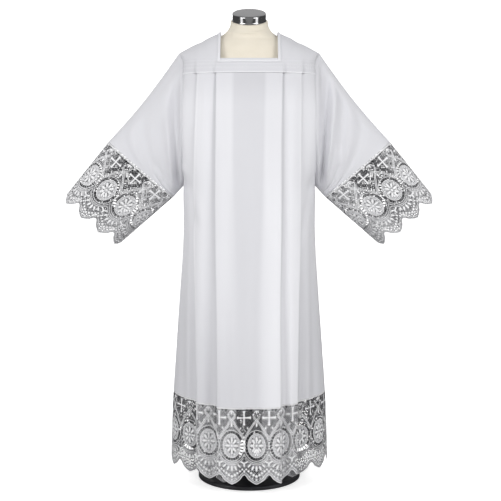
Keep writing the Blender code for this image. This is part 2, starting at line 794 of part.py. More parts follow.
def cylinder(name, radius, depth, middle, finish, collection, edge=0.0, sides=28):
    bpy.ops.mesh.primitive_cylinder_add(vertices=sides, radius=radius, depth=depth, location=middle)
    obj = bpy.context.object
    obj.name = obj.data.name = name
    obj.data.materials.append(finish)
    for other in list(obj.users_collection):
        other.objects.unlink(obj)
    collection.objects.link(obj)
    if edge:
        bevel = obj.modifiers.new("edge", "BEVEL")
        bevel.width = edge
        bevel.segments = 1
        bevel.limit_method = "ANGLE"
    obj.data.shade_smooth()
    return obj


def make_cap(name, finish, collection):
    """The metal cap on the neck, which leans forward with it."""
    top = FORM[-1]
    lean = Matrix.Rotation(math.radians(top["lean"]), 4, "X")
    up = lean @ Vector((0, 0, 1))
    middle = Vector((0, top["shift"], top["height"])) + up * (CAP_HEIGHT / 2 + SEAM_GAP)
    cap = cylinder(name, CAP_RADIUS, CAP_HEIGHT, middle, finish, collection, CAP_EDGE)
    cap.rotation_euler = (math.radians(top["lean"]), 0, 0)
    return cap


def turned(name, profile, finish, collection, sides=36):
    """A shape turned round Z from its profile, from the top of the axis down its outer side."""
    mesh = bpy.data.meshes.new(name)
    mesh.from_pydata([(r, 0, z) for r, z in profile], [(i, i + 1) for i in range(len(profile) - 1)], [])
    obj = bpy.data.objects.new(name, mesh)
    mesh.materials.append(finish)
    collection.objects.link(obj)
    screw = obj.modifiers.new("turn", "SCREW")
    screw.steps = screw.render_steps = sides
    screw.use_merge_vertices = True
    screw.merge_threshold = 0.00005
    return obj


def make_stand(finish, collection):
    """A round base, a tapered socket standing on it, and the pole in the socket."""
    base = [
        (0.0, BASE_HEIGHT),
        (BASE_RADIUS - BASE_EDGE, BASE_HEIGHT),
        (BASE_RADIUS, BASE_HEIGHT - BASE_EDGE),
        (BASE_RADIUS, 0.0),
        (0.0, 0.0),
    ]
    turned("stand_base", base, finish, collection)
    foot = BASE_HEIGHT + SEAM_GAP
    top = foot + SOCKET_HEIGHT
    socket = [
        (0.0, top),
        (SOCKET_TOP_RADIUS, top),
        (SOCKET_TOP_RADIUS + SOCKET_EDGE, top - SOCKET_EDGE),
        (SOCKET_RADIUS, foot + SOCKET_EDGE),
        (SOCKET_RADIUS, foot),
        (0.0, foot),
    ]
    turned("stand_socket", socket, finish, collection)
    low, high = top + SEAM_GAP, FORM["height"][0] - SEAM_GAP
    middle = (0, 0, (low + high) / 2)
    cylinder("stand_pole", POLE_RADIUS, high - low, middle, finish, collection, sides=20)


def main():
    clear_scene()
    collection = bpy.data.collections.new("alb_on_dress_form")
    bpy.context.scene.collection.children.link(collection)
    white = material("white_cloth", (0.86, 0.86, 0.88), 0.85)
    lace = material("white_lace", (0.88, 0.88, 0.88), 0.8)
    jersey = material("cream_jersey", (0.80, 0.72, 0.60), 0.9)
    chrome = material("polished_metal", (0.78, 0.78, 0.80), 0.15, 1.0)
    black = material("black_metal", (0.03, 0.03, 0.035), 0.45, 0.6)

    make_form("form_torso", jersey, collection)
    make_cap("neck_cap", chrome, collection)
    make_stand(black, collection)
    gaps = 0
    for side, label in ((-1, "front"), (1, "back")):
        make_panel(f"{label}_panel", side, white, collection)
        gaps += make_hem_lace(f"hem_lace_{label}", side, lace, collection)
        make_band(f"{label}_band", side, white, collection)
    make_yoke("shoulder_yoke", white, collection)
    make_binding("neck_binding", white, collection)
    for side, label in ((-1, "right"), (1, "left")):
        make_sleeve(f"sleeve_{label}", side, white, collection)
        for face, half in ((1, "front"), (-1, "back")):
            gaps += make_cuff_lace(f"cuff_lace_{label}_{half}", side, face, lace, collection)
    print("gaps cut through the lace:", gaps)


main()
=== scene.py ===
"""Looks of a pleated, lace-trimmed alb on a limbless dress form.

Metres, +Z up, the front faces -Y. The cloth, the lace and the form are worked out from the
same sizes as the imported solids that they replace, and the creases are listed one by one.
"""

import functools
import math

import bmesh
import bpy
import numpy as np
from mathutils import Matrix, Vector, geometry

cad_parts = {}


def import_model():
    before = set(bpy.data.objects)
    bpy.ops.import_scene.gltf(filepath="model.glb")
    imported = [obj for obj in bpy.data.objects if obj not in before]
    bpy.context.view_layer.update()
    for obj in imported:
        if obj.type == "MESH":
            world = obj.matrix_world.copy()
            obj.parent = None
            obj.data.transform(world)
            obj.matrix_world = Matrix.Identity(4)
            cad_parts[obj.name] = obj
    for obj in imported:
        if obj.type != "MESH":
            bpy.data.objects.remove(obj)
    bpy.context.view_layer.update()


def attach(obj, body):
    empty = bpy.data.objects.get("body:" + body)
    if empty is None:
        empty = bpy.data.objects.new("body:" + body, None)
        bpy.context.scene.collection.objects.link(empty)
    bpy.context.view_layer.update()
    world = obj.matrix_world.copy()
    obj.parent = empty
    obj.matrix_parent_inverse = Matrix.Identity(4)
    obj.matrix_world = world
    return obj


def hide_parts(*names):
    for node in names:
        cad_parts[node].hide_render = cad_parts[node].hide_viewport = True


# ---------------------------------------------------------------- sizes shared with the solids

SEAM_GAP = 0.0003
HEM_TIP_Z = 0.038
LACE_DEPTH = 0.232
LACE_TOP_Z = HEM_TIP_Z + LACE_DEPTH
HEM_RISE = 0.020
PLEAT_TOP_Z = 1.286
BAND_TOP_Z = 1.327


def table(names, *rows):
    return np.array(list(rows), dtype=[(name, float) for name in names.split()])


BODY = table(
    "height half_width front back layer",
    (0.03, 0.253, 0.163, 0.17, 0.014),
    (0.115, 0.251, 0.16, 0.166, 0.013),
    (0.254, 0.2455, 0.155, 0.16, 0.0113),
    (0.431, 0.2335, 0.148, 0.151, 0.009),
    (0.6, 0.2215, 0.141, 0.143, 0.0068),
    (0.768, 0.211, 0.135, 0.136, 0.005),
    (0.94, 0.209, 0.129, 0.13, 0.004),
    (1.1, 0.2065, 0.124, 0.124, 0.0033),
    (1.286, 0.205, 0.117, 0.118, 0.0027),
    (1.327, 0.205, 0.109, 0.112, 0.0027),
)
# How square the body's oval section is, and how it narrows into the edge of an armhole
SQUARENESS = 2.4
EDGE_FADE = 1.5

# Where each pleat's fold lies at each height, from the middle: the front's own folds, on the
# wearer's right (-X) and left (+X). The back has them the other way round.
FOLDS = table(
    "height right_outer right_inner left_inner left_outer",
    (0.03, 0.148, 0.086, 0.0855, 0.136),
    (0.28, 0.153, 0.0885, 0.087, 0.14),
    (0.596, 0.162, 0.093, 0.0885, 0.147),
    (0.748, 0.1665, 0.097, 0.092, 0.153),
    (1.115, 0.164, 0.099, 0.096, 0.157),
    (1.286, 0.156, 0.0975, 0.099, 0.158),
)
UNDERLAY = 0.050
BAND_CLEAR, BAND_RAMP = 0.0005, 0.016

ARMHOLE_Z = 1.1485
ARMHOLE_HALF_HEIGHT = 0.2085
ARMHOLE_HALF_WIDTH = 0.078
ARMHOLE_GAP = 0.0014
NECK_HALF_WIDTH = 0.0880
NECK_SHOULDER_Z = 1.4194
SHOULDER_END_Z = 1.357
SHOULDER_END_X = 0.218
SHOULDER_ROUNDING = 1.15
# How far back over the yoke, from the shoulder to the back seam, the square neck reaches
NAPE_SHARE = 0.60
BINDING_WIDTH = 0.008
BINDING_OUT = 0.0018

# The oval of a sleeve's cuff seam and that of its lace's end: middle, reach up, half depth
CUFF = ((0.3422, -0.008, 0.9935), (0.1018, 0.0, 0.0865), 0.052)
CUFF_LACE_END = ((0.5038, -0.010, 0.8271), (0.0855, 0.0, 0.0735), 0.079)
SLEEVE_SAG = 0.012
SLEEVE_REACH = 0.250
SLEEVE_LEAST_RUN = 0.06
# How much of each fold of the front a sleeve's back has, the other way round
HIDDEN_FOLD_SHARE = 0.5

LACE_PITCH = 0.076
HEM_CROSS_X = -0.016
CUFF_CROSS = 0.009

SHELL = 0.0008
LACE_SHELL = 0.0006

# ---------------------------------------------------------------- creases

# Soft troughs (negative) and ridges of the front and the back: where each starts and ends, half
# its width, and how far it moves the cloth out at its top and at its foot.
FRONT_CREASES = table(
    "x_top z_top x_foot z_foot half_width push_top push_foot",
    (-0.119, 1.28, -0.1165, 0.02, 0.019, -0.0036, -0.013),
    (0.111, 1.28, 0.105, 0.02, 0.0095, -0.0032, -0.0085),
    (-0.176, 1.2, -0.172, 0.02, 0.015, -0.0015, -0.0085),
    (0.174, 1.2, 0.16, 0.02, 0.0165, -0.0015, -0.0075),
    (-0.012, 1.27, 0.004, 0.1, 0.024, -0.0022, -0.005),
    (-0.05, 1.25, -0.046, 0.2, 0.012, 0.0012, 0.0024),
    (0.054, 1.26, 0.047, 0.15, 0.013, 0.0014, 0.0022),
    (-0.2, 0.93, -0.212, 0.1, 0.013, -0.0025, -0.0055),
    (0.197, 0.92, 0.206, 0.06, 0.014, -0.0028, -0.006),
    (-0.187, 0.98, -0.194, 0.2, 0.008, 0.0012, 0.0026),
    (0.186, 0.96, 0.183, 0.14, 0.009, 0.0014, 0.0026),
    (-0.204, 0.99, -0.15, 0.78, 0.012, -0.005, -0.003),
    (0.204, 0.99, 0.158, 0.74, 0.012, -0.005, -0.0035),
    (-0.205, 1.02, -0.18, 0.86, 0.006, 0.003, 0.0015),
    (-0.138, 1.28, -0.134, 0.95, 0.008, 0.0016, 0.001),
    (0.139, 1.28, 0.133, 0.9, 0.009, 0.0018, 0.001),
    (-0.131, 0.7, -0.124, 0.02, 0.01, 0.002, 0.003),
    (0.124, 0.72, 0.117, 0.02, 0.009, 0.002, 0.003),
    (0.024, 0.66, 0.034, 0.05, 0.015, -0.002, -0.0034),
    (-0.066, 0.6, -0.06, 0.04, 0.011, -0.0016, -0.0036),
    (-0.028, 0.5, -0.026, 0.04, 0.011, 0.0008, 0.003),
)
BACK_CREASES = table(
    "x_top z_top x_foot z_foot half_width push_top push_foot",
    (-0.113, 1.28, -0.106, 0.02, 0.0115, -0.003, -0.012),
    (0.111, 1.28, 0.109, 0.02, 0.011, -0.003, -0.0125),
    (-0.174, 1.2, -0.16, 0.02, 0.015, -0.0015, -0.009),
    (0.175, 1.2, 0.172, 0.02, 0.015, -0.0015, -0.008),
    (0.018, 1.26, -0.008, 0.12, 0.024, -0.0024, -0.005),
    (-0.054, 1.24, -0.046, 0.2, 0.013, 0.0014, 0.0024),
    (0.05, 1.25, 0.044, 0.2, 0.012, 0.0012, 0.0022),
    (-0.196, 0.92, -0.206, 0.08, 0.014, -0.0026, -0.0058),
    (0.199, 0.93, 0.21, 0.1, 0.0135, -0.0025, -0.0055),
    (-0.203, 0.99, -0.155, 0.76, 0.012, -0.0046, -0.0032),
    (0.201, 0.98, 0.15, 0.8, 0.013, -0.0044, -0.003),
    (0.066, 0.62, 0.06, 0.05, 0.012, -0.0016, -0.0034),
    (-0.026, 0.66, -0.034, 0.06, 0.015, -0.002, -0.0034),
)
# The hanging folds and creases of each sleeve: how far out from the armhole their top and foot
# lie, and at which angle round the sleeve, half their width, and their depth (negative for a
# ridge). The first two on -X and the first three on +X are the solids' own.
SLEEVE_FOLDS = table(
    "side top_out foot_out top_angle foot_angle half_width depth",
    (-1, 0.02, 0.022, 40, 165, 0.014, 0.02),
    (-1, 0.06, 0.075, 60, 150, 0.03, 0.006),
    (-1, 0.045, 0.05, 50, 160, 0.01, -0.003),
    (-1, 0.105, 0.15, 30, 120, 0.022, 0.0035),
    (-1, 0.15, 0.215, 25, 95, 0.018, -0.0028),
    (-1, 0.12, 0.09, 95, 168, 0.014, 0.0035),
    (-1, 0.165, 0.19, 100, 170, 0.016, 0.003),
    (1, 0.0275, 0.0275, 20, 165, 0.0135, 0.026),
    (1, 0.047, 0.044, 25, 150, 0.012, -0.007),
    (1, 0.062, 0.095, 25, 105, 0.018, 0.008),
    (1, 0.012, 0.013, 15, 70, 0.005, 0.004),
    (1, 0.09, 0.14, 30, 115, 0.018, -0.003),
    (1, 0.125, 0.18, 25, 110, 0.02, 0.0035),
    (1, 0.11, 0.085, 95, 168, 0.014, 0.0035),
    (1, 0.17, 0.185, 105, 170, 0.015, 0.003),
)

# ---------------------------------------------------------------- the body's section


def smooth(rows, column, height):
    """A table's column at each height, on a smooth curve through its rows."""
    heights, values = rows["height"], rows[column]
    height = np.clip(height, heights[0], heights[-1])
    row = np.clip(np.searchsorted(heights, height, side="right") - 1, 0, len(heights) - 2)
    slopes = np.gradient(values, heights)
    span = heights[row + 1] - heights[row]
    share = (height - heights[row]) / span
    return (
        (2 * share**3 - 3 * share**2 + 1) * values[row]
        + (share**3 - 2 * share**2 + share) * span * slopes[row]
        + (3 * share**2 - 2 * share**3) * values[row + 1]
        + (share**3 - share**2) * span * slopes[row + 1]
    )


def eased(share):
    share = np.clip(share, 0.0, 1.0)
    return share * share * (3 - 2 * share)


def unit(vectors):
    return vectors / np.maximum(np.linalg.norm(vectors, axis=-1, keepdims=True), 1e-12)


def joined(*columns):
    """Arrays of one coordinate each, made into an array of points."""
    return np.stack(columns, -1)


def between(start, end, share):
    return start + (end - start) * share


def bell(away, half_width):
    return np.exp(-((away / half_width) ** 2))


def full_circle(count):
    return np.linspace(0, 2 * math.pi, count + 1)[:-1]


def lengths_along(line):
    """How far along a line each of its points lies."""
    return np.concatenate([[0], np.cumsum(np.linalg.norm(np.diff(line, axis=0), axis=1))])


def points_at(line, length, where):
    """A line's points, or rows that belong to them, at places along its length."""
    return joined(*[np.interp(where, length, column) for column in line.T])


def closed(line):
    return np.concatenate([line, line[:1]])


def lifted(flat, height):
    """Points in plan, each put at its height."""
    return np.concatenate([flat, height[..., None]], -1)


def away_from(middle, line, normals):
    """A line's normals, turned so that they point away from a place."""
    return normals * np.sign(np.sum(normals * (line - middle), 1, keepdims=True))


def armhole_half_width(height):
    from_middle = (height - ARMHOLE_Z) / ARMHOLE_HALF_HEIGHT
    power = 0.5 + 0.4 * np.clip(-from_middle, 0, 1)
    across = np.maximum(1 - from_middle**2, 0.0) ** power
    return np.maximum(ARMHOLE_HALF_WIDTH * across, SEAM_GAP)


def plan(side, turn, height):
    """The plain outline's points, in plan; side is -1 for the front and 1 for the back."""
    power = 2 / SQUARENESS
    width = smooth(BODY, "half_width", height)
    reach = smooth(BODY, "front" if side < 0 else "back", height)
    edge = armhole_half_width(height)
    across = np.sign(np.cos(turn)) * np.abs(np.cos(turn)) ** power
    out = np.maximum(np.sin(turn), 0) ** power
    return joined(-width * across, side * (reach * out + edge * (1 - out) ** EDGE_FADE))


def outline(side, turn, height):
    """The plain outline's points with their outward and forward directions, in plan."""
    step = 0.004
    along = plan(side, np.minimum(turn + step, math.pi), height)
    along = unit(along - plan(side, np.maximum(turn - step, 0.0), height))
    outward = joined(along[..., 1], -along[..., 0]) * -side
    return plan(side, turn, height), outward, along


def turn_at(x, height):
    share = np.minimum(np.abs(x) / smooth(BODY, "half_width", height), 1.0)
    return np.arccos(share ** (SQUARENESS / 2))


def fold_x(side, half, fold, height):
    """How far from the middle a pleat's fold lies, on the half on -X or +X."""
    hand = "right" if side * half > 0 else "left"
    return smooth(FOLDS, f"{hand}_{fold}", height)


def nearest_fold(side, x, fold, height):
    return np.where(x < 0, fold_x(side, -1, fold, height), fold_x(side, 1, fold, height))


# One half's section from its seam to its middle: runs between stops and turns at them, each with
# how many layers lie below it, and a turn with the way it bulges
WAY = (
    ("run", ("seam", "outer", "outer_under"), 0),
    ("turn", ("outer_under",), 0, 1),
    ("run", ("outer_under", "outer"), 1),
    ("turn", ("outer",), 1, -1),
    ("run", ("outer", "outer_under", "inner", "inner_under"), 2),
    ("turn", ("inner_under",), 2, 1),
    ("run", ("inner_under", "inner"), 3),
    ("turn", ("inner",), 3, -1),
    ("run", ("inner", "inner_under", "middle"), 4),
)
# How many columns a fine mesh of the cloth has on each stretch
WAY_STEPS = (48, 8, 9, 8, 20, 8, 9, 8, 18)
# Where along the way the cloth that shows has the outer and the inner pleat's underlay behind it
SEEN_UNDERLAYS = ((3.5, 4.36), (7.5, 8.5))


def place_turn(side, half, place, height):
    if place == "seam":
        return np.zeros_like(height)
    if place == "middle":
        return np.full_like(height, math.pi / 2)
    fold, _, under = place.partition("_")
    return turn_at(fold_x(side, half, fold, height) - (UNDERLAY if under else 0.0), height)


CREASE_WANDER = 0.0025
CREASE_TOP_FADE, CREASE_FOOT_FADE = 0.16, 0.30
RIPPLE = 0.0016
CREASED_HALF_WIDTH, SEAM_FADE = 0.2535, 0.02


def crease_push(side, x, height):
    """How far the listed creases, and a slight ripple near the foot, move the cloth out."""
    push = np.zeros_like(x)
    for row in FRONT_CREASES if side < 0 else BACK_CREASES:
        down = (row["z_top"] - height) / (row["z_top"] - row["z_foot"])
        line = between(row["x_top"], row["x_foot"], down)
        wander = CREASE_WANDER * np.sin(7.0 * height + 40 * row["half_width"] / 0.01) * (down > 0)
        size = between(row["push_top"], row["push_foot"], np.clip(down, 0, 1))
        end = 1.0 if row["z_foot"] < HEM_TIP_Z else eased((1 - down) / CREASE_FOOT_FADE)
        push += size * bell(x - line - wander, row["half_width"]) * eased(down / CREASE_TOP_FADE) * end
    low = eased((0.95 - height) / 0.7)
    push += RIPPLE * low * np.sin(x * 46 + side * 1.3) * np.sin(height * 5.1 + 0.6 + x * 9)
    return push * eased((CREASED_HALF_WIDTH - np.abs(x)) / SEAM_FADE)


def way_point(side, half, place, height):
    """Points of one half's pleated section; place counts the way's stretches from its seam."""
    place = np.minimum(place, len(WAY) - 1e-6)  # so that the way's end is on its last stretch
    flat = np.zeros(place.shape + (2,))
    layer = smooth(BODY, "layer", height)
    for number, (kind, stops, depth, *way) in enumerate(WAY):
        here = np.floor(place) == number
        if not here.any():
            continue
        level, share, thick = height[here], place[here] - number, layer[here][:, None]
        turns = np.array([place_turn(side, half, stop, level) for stop in stops])
        if kind == "run":
            along = np.clip(share, 0, 1) * (len(stops) - 1)
            leg = np.minimum(along.astype(int), len(stops) - 2)
            index = np.arange(len(level))
            turn = between(turns[leg, index], turns[leg + 1, index], along - leg)
            at, outward, _ = outline(side, turn, level)
            point = at + outward * depth * thick
        else:
            at, outward, forward = outline(side, turns[0], level)
            angle = (math.pi * (share - 0.5))[:, None]
            rise = depth * thick + thick / 2 * (1 + np.sin(angle))
            point = at + outward * rise + forward * way[0] * thick / 2 * np.cos(angle)
        point += outward * crease_push(side, -half * at[:, 0], level)[:, None]
        flat[here] = point
    flat[..., 0] *= -half
    return flat


class Cloth:
    """Where each metre of the pleated cloth lies, from the seam on -X to the one on +X."""

    def __init__(self, side):
        self.side = side
        self.places = np.linspace(0, len(WAY), 60 * len(WAY) + 1)
        level = np.full_like(self.places, LACE_TOP_Z - LACE_DEPTH / 2)
        # How far from its seam each half's cloth has run at each place of its way
        self.lengths = [lengths_along(way_point(side, half, self.places, level)) for half in (-1, 1)]
        self.middle = float(self.lengths[0][-1])
        self.width = self.middle + float(self.lengths[1][-1])

    def place(self, along):
        """Whether places along the cloth are on its first half, and where on their way they lie."""
        first = along <= self.middle
        run = np.where(first, along, self.width - along)
        return first, np.where(first, *[np.interp(run, length, self.places) for length in self.lengths])

    def point(self, along, height):
        along, height = np.broadcast_arrays(along, height)
        first, place = self.place(along)
        flat = np.zeros(along.shape + (2,))
        for half, mask in ((-1, first), (1, ~first)):
            flat[mask] = way_point(self.side, half, place[mask], height[mask])
        return lifted(flat, height)

    def columns(self):
        """Places along the cloth for the columns of a fine mesh."""
        stops = [np.linspace(n, n + 1, steps + 1)[:-1] for n, steps in enumerate(WAY_STEPS)]
        stops = np.concatenate([*stops, [len(WAY)]])
        first, last = (np.interp(stops, self.places, length) for length in self.lengths)
        return np.concatenate([first, self.width - last[-2::-1]])

    def doubled_and_painted_light(self, along, soft=0.03):
        """1 where a pleat's underlay lies behind the cloth that shows; soft blurs its far edge."""
        _, place = self.place(along)
        fades = []
        for start, end in SEEN_UNDERLAYS:
            fades.append((place >= start) * eased((end + soft - place) / (2 * soft)))
        return np.maximum(*fades)

    def lace_top(self, along):
        x = self.point(along, np.full_like(along, LACE_TOP_Z))[..., 0]
        return LACE_TOP_Z + HEM_RISE * (np.abs(x) / 0.25) ** 2.5


# ---------------------------------------------------------------- meshes


def placed(name, data):
    """A new object, put in the scene."""
    obj = bpy.data.objects.new(name, data)
    bpy.context.scene.collection.objects.link(obj)
    return obj


def new_object(name, points, faces, finish, uv=None):
    mesh = bpy.data.meshes.new(name)
    points, faces = np.asarray(points, float).reshape(-1, 3), np.asarray(faces, int)
    mesh.vertices.add(len(points))
    mesh.vertices.foreach_set("co", points.ravel())
    sides = faces.shape[1]
    mesh.loops.add(faces.size)
    mesh.loops.foreach_set("vertex_index", faces.ravel())
    mesh.polygons.add(len(faces))
    mesh.polygons.foreach_set("loop_start", np.arange(0, faces.size, sides))
    mesh.update(calc_edges=True)
    if uv is not None:
        uv = np.asarray(uv, float).reshape(-1, 2)
        mesh.uv_layers.new(name="cut").data.foreach_set("uv", uv[faces.ravel()].ravel())
    mesh.shade_smooth()
    mesh.materials.append(finish)
    return placed(name, mesh)


def grid_faces(rows, columns, flip=False, closed=False):
    row = np.arange(rows - 1)[:, None] * columns
    column = np.arange(columns if closed else columns - 1)[None, :]
    after = (column + 1) % columns
    below = row + columns
    quads = joined(row + column, row + after, below + after, below + column).reshape(-1, 4)
    return quads[:, ::-1] if flip else quads


def halved(quads):
    """Two triangles for each quad."""
    return np.concatenate([quads[:, :3], quads[:, [0, 2, 3]]])


def merged(pieces):
    """Several meshes' points and faces, put together."""
    starts = np.cumsum([0, *[len(points) for points, _ in pieces]])
    faces = [faces + start for (_, faces), start in zip(pieces, starts)]
    return np.concatenate([points for points, _ in pieces]), np.concatenate(faces)


def shell(obj):
    """Gives a sheet its thickness; its cut edges stay crisp."""
    mesh = obj.data
    edges = np.empty(len(mesh.loops), int)
    mesh.loops.foreach_get("edge_index", edges)
    cut = np.bincount(edges, minlength=len(mesh.edges)) == 1
    mesh.attributes.new("sharp_edge", "BOOLEAN", "EDGE").data.foreach_set("value", cut)
    wall = obj.modifiers.new("wall", "SOLIDIFY")
    wall.thickness, wall.offset = SHELL, 0.0
    return obj


def add_attribute(obj, name, values):
    attribute = obj.data.attributes.new(name, "FLOAT", "POINT")
    attribute.data.foreach_set("value", np.asarray(values, float).ravel())


def cloth_grid(name, points, finish, uv, flip=False, closed=False, dense=None):
    """A sheet of cloth through rows of points; dense is its mask of density with painted light and shade.
    """
    faces = grid_faces(*points.shape[:2], flip=flip, closed=closed)
    obj = new_object(name, points, faces, finish, uv)
    if dense is not None:
        add_attribute(obj, "cover_and_painted_light", dense)
    return shell(obj)


PANEL_ROWS = 113
# The panel's top edge steps in behind the band, then runs up and a little narrower
TUCKED_IN = 0.007
STEP_IN = 0.0010
NARROWED = 0.992
# How dense the white cloth looks, from 0 to 1: one layer of it, and what an underlay adds, partly for its
# extra layers and partly as painted light
SINGLE, UNDERLAID = 0.38, 0.35


def cover_and_painted_light(cloth, wide, height, x):
    """How dense the pleated cloth looks at each of its points, with painted light and shade mixed in."""
    # An underlay's far edge blurs towards the foot. Towards the foot it is painted lighter on +X, as
    # painted light, and fades out on -X, as painted shade.
    soft = 0.03 + 0.27 * eased((1.20 - height) / 0.7)
    more, less = 1 + 0.7 * eased((1.15 - height) / 0.35), 1.15 * eased((height - 0.30) / 0.45)
    under = cloth.doubled_and_painted_light(wide, soft) * np.where(x > 0, more, less)
    # Beyond the outer pleats the cloth is painted as light as over an underlay, painted light that fades
    # out towards the foot
    beyond = np.abs(x) - nearest_fold(cloth.side, x, "outer", height)
    under += eased(beyond / 0.004) * eased((height - 0.45) / 0.4)
    # Painted shade darkens it just below the band and near the foot; its seam to the band is lighter,
    # partly for the seam allowance there and partly as painted light over the shadow under the band
    thin = 0.36 * eased((height - 1.176) / 0.11) + 0.10 * eased((0.55 - height) / 0.3)
    seam = 0.6 * (height > PLEAT_TOP_Z - 0.001)
    return SINGLE + UNDERLAID * under - thin + seam


def make_panel(label, cloth, finish):
    """The pleated cloth from its lace to its band; its top edge runs up behind the band."""
    side = cloth.side
    along = cloth.columns()
    share = np.append(np.linspace(0, 0.998, PANEL_ROWS - 1), 1.0)[:, None]
    foot = (cloth.lace_top(along) + SEAM_GAP)[None, :]
    height = between(foot, PLEAT_TOP_Z, share)
    wide = np.broadcast_to(along, height.shape)
    points = cloth.point(wide, height)
    step = points[-1:] + [0, -side * STEP_IN, 0]
    hidden = (step + [0, -side * 0.0003, TUCKED_IN]) * [NARROWED, 1, 1]
    points = np.concatenate([points, step, hidden])
    height = np.concatenate([height, height[-1:], height[-1:] + TUCKED_IN])
    wide = np.broadcast_to(along, height.shape)
    # The mask is the cloth's density with painted light and shade mixed in
    dense = cover_and_painted_light(cloth, wide, height, points[..., 0])
    return cloth_grid(f"{label}_panel_cloth", points, finish, joined(wide, height), side > 0, dense=dense)


# ---------------------------------------------------------------- bands, yoke and binding


def band_out(side, x, height):
    """How far a band stands off the plain outline, so that it clears the pleats below it."""
    inside = [nearest_fold(side, x, fold, PLEAT_TOP_Z) - np.abs(x) for fold in ("outer", "inner")]
    layers = sum(2 * eased(reach / BAND_RAMP + 1) for reach in inside)
    full = layers * (smooth(BODY, "layer", PLEAT_TOP_Z) + BAND_CLEAR)
    share = (BAND_TOP_Z - height) / (BAND_TOP_Z - PLEAT_TOP_Z)
    return full * (0.25 + 0.75 * share)


def band_point(side, turn, height, out=0.0):
    turn, height = np.broadcast_arrays(turn, height)
    here, outward, _ = outline(side, turn, height)
    here = here + outward * (band_out(side, here[..., 0], height) + out)[..., None]
    return lifted(here, height)


BAND_ROWS, BAND_COLUMNS = 34, 200
# A small pucker: its depth, and its waves along the band and up it
PUCKER, PUCKER_ALONG, PUCKER_UP = 0.00025, 900, 76
# How dense the band looks: between its tucks, kept low as painted shade since the band tilts up into the
# light; what a tuck adds, partly its folded layers and partly a painted highlight; and what the lowest
# tuck adds, a painted highlight
BAND_COVER_AND_PAINTED_SHADE, TUCK_COVER_AND_HIGHLIGHT, LOW_TUCK_PAINTED_HIGHLIGHT = 0.22, 0.12, 0.50
# Stitched tucks along the band, from its lower edge: height, half-width and how far each is
# raised above (or sunk below) the band.
BAND_TUCKS = (
    (0.0016, 0.0022, 0.0006),
    (0.0052, 0.0012, -0.0002),
    (0.0160, 0.0022, 0.0004),
    (0.0190, 0.0010, -0.0002),
    (0.0280, 0.0022, 0.0004),
    (0.0310, 0.0010, -0.0002),
    (0.0385, 0.0020, 0.0004),
)


def make_band(label, side, finish):
    low, high = PLEAT_TOP_Z + SEAM_GAP, BAND_TOP_Z
    rise = np.unique([*np.linspace(0, high - low, BAND_ROWS), *[tuck[0] for tuck in BAND_TUCKS]])
    turn = np.linspace(0, math.pi, BAND_COLUMNS)
    height, turns = np.meshgrid(low + rise, turn, indexing="ij")
    ridges = [(high, bell(height - low - at, wide)) for at, wide, high in BAND_TUCKS]
    here, _, _ = outline(side, turns, height)
    pucker = PUCKER * np.sin(here[..., 0] * PUCKER_ALONG) * np.sin((height - low) * PUCKER_UP)
    points = band_point(side, turns, height, sum(high * ridge for high, ridge in ridges) + pucker)
    # Painted highlight on the raised tucks, the most on the lowest, over a band painted a little darker
    dense = sum((high > 0) * ridge for high, ridge in ridges)
    dense = BAND_COVER_AND_PAINTED_SHADE + dense * (TUCK_COVER_AND_HIGHLIGHT + LOW_TUCK_PAINTED_HIGHLIGHT * (height - low < 0.004))
    uv = points[..., [0, 2]]
    lip = points[:1] + [0, -side * 0.0003, 0.0]
    behind = points[-1:] + [0, -side * 0.0016, 0.004]
    points = np.concatenate([lip, points, behind])
    uv = np.concatenate([uv[:1] - [0, 0.002], uv, uv[-1:] + [0, 0.004]])
    dense = np.concatenate([dense[:1], dense, dense[-1:]])
    return cloth_grid(f"{label}_band_cloth", points, finish, uv, side > 0, dense=dense)


def shoulder_z(x):
    share = np.maximum(np.abs(x) - NECK_HALF_WIDTH, 0.0) / (SHOULDER_END_X - NECK_HALF_WIDTH)
    return between(NECK_SHOULDER_Z, SHOULDER_END_Z, share**SHOULDER_ROUNDING)


def yoke_point(x, share):
    """The yoke at x; share is -1 at its front seam, 0 on the shoulder and 1 at its back seam."""
    x, share = np.broadcast_arrays(x, share)
    foot = BAND_TOP_Z + 2 * SEAM_GAP
    top = np.full_like(x, BAND_TOP_Z)
    edge = smooth(BODY, "half_width", top)
    inside = np.minimum(np.abs(x), edge)
    depth = np.zeros_like(x)
    for side, mine in ((-1, share < 0), (1, share >= 0)):
        reach = np.abs(plan(side, turn_at(inside, top), top)[..., 1])
        depth += mine * (reach + band_out(side, x, top))
    spread = 1 + (SHOULDER_END_X / edge - 1) * (np.abs(x) / edge) ** 4 * (1 - share**2)
    wide = np.copysign(inside * spread, x)
    return joined(wide, depth * share, between(foot, shoulder_z(wide), 1 - share**2))


def yoke_normal(x, share):
    step = 0.002
    across = yoke_point(x + step, share) - yoke_point(x - step, share)
    back = yoke_point(x, share + 0.01) - yoke_point(x, share - 0.01)
    return unit(np.cross(across, back))


YOKE_RIPPLE, YOKE_HOLLOW = 0.0010, 0.0022


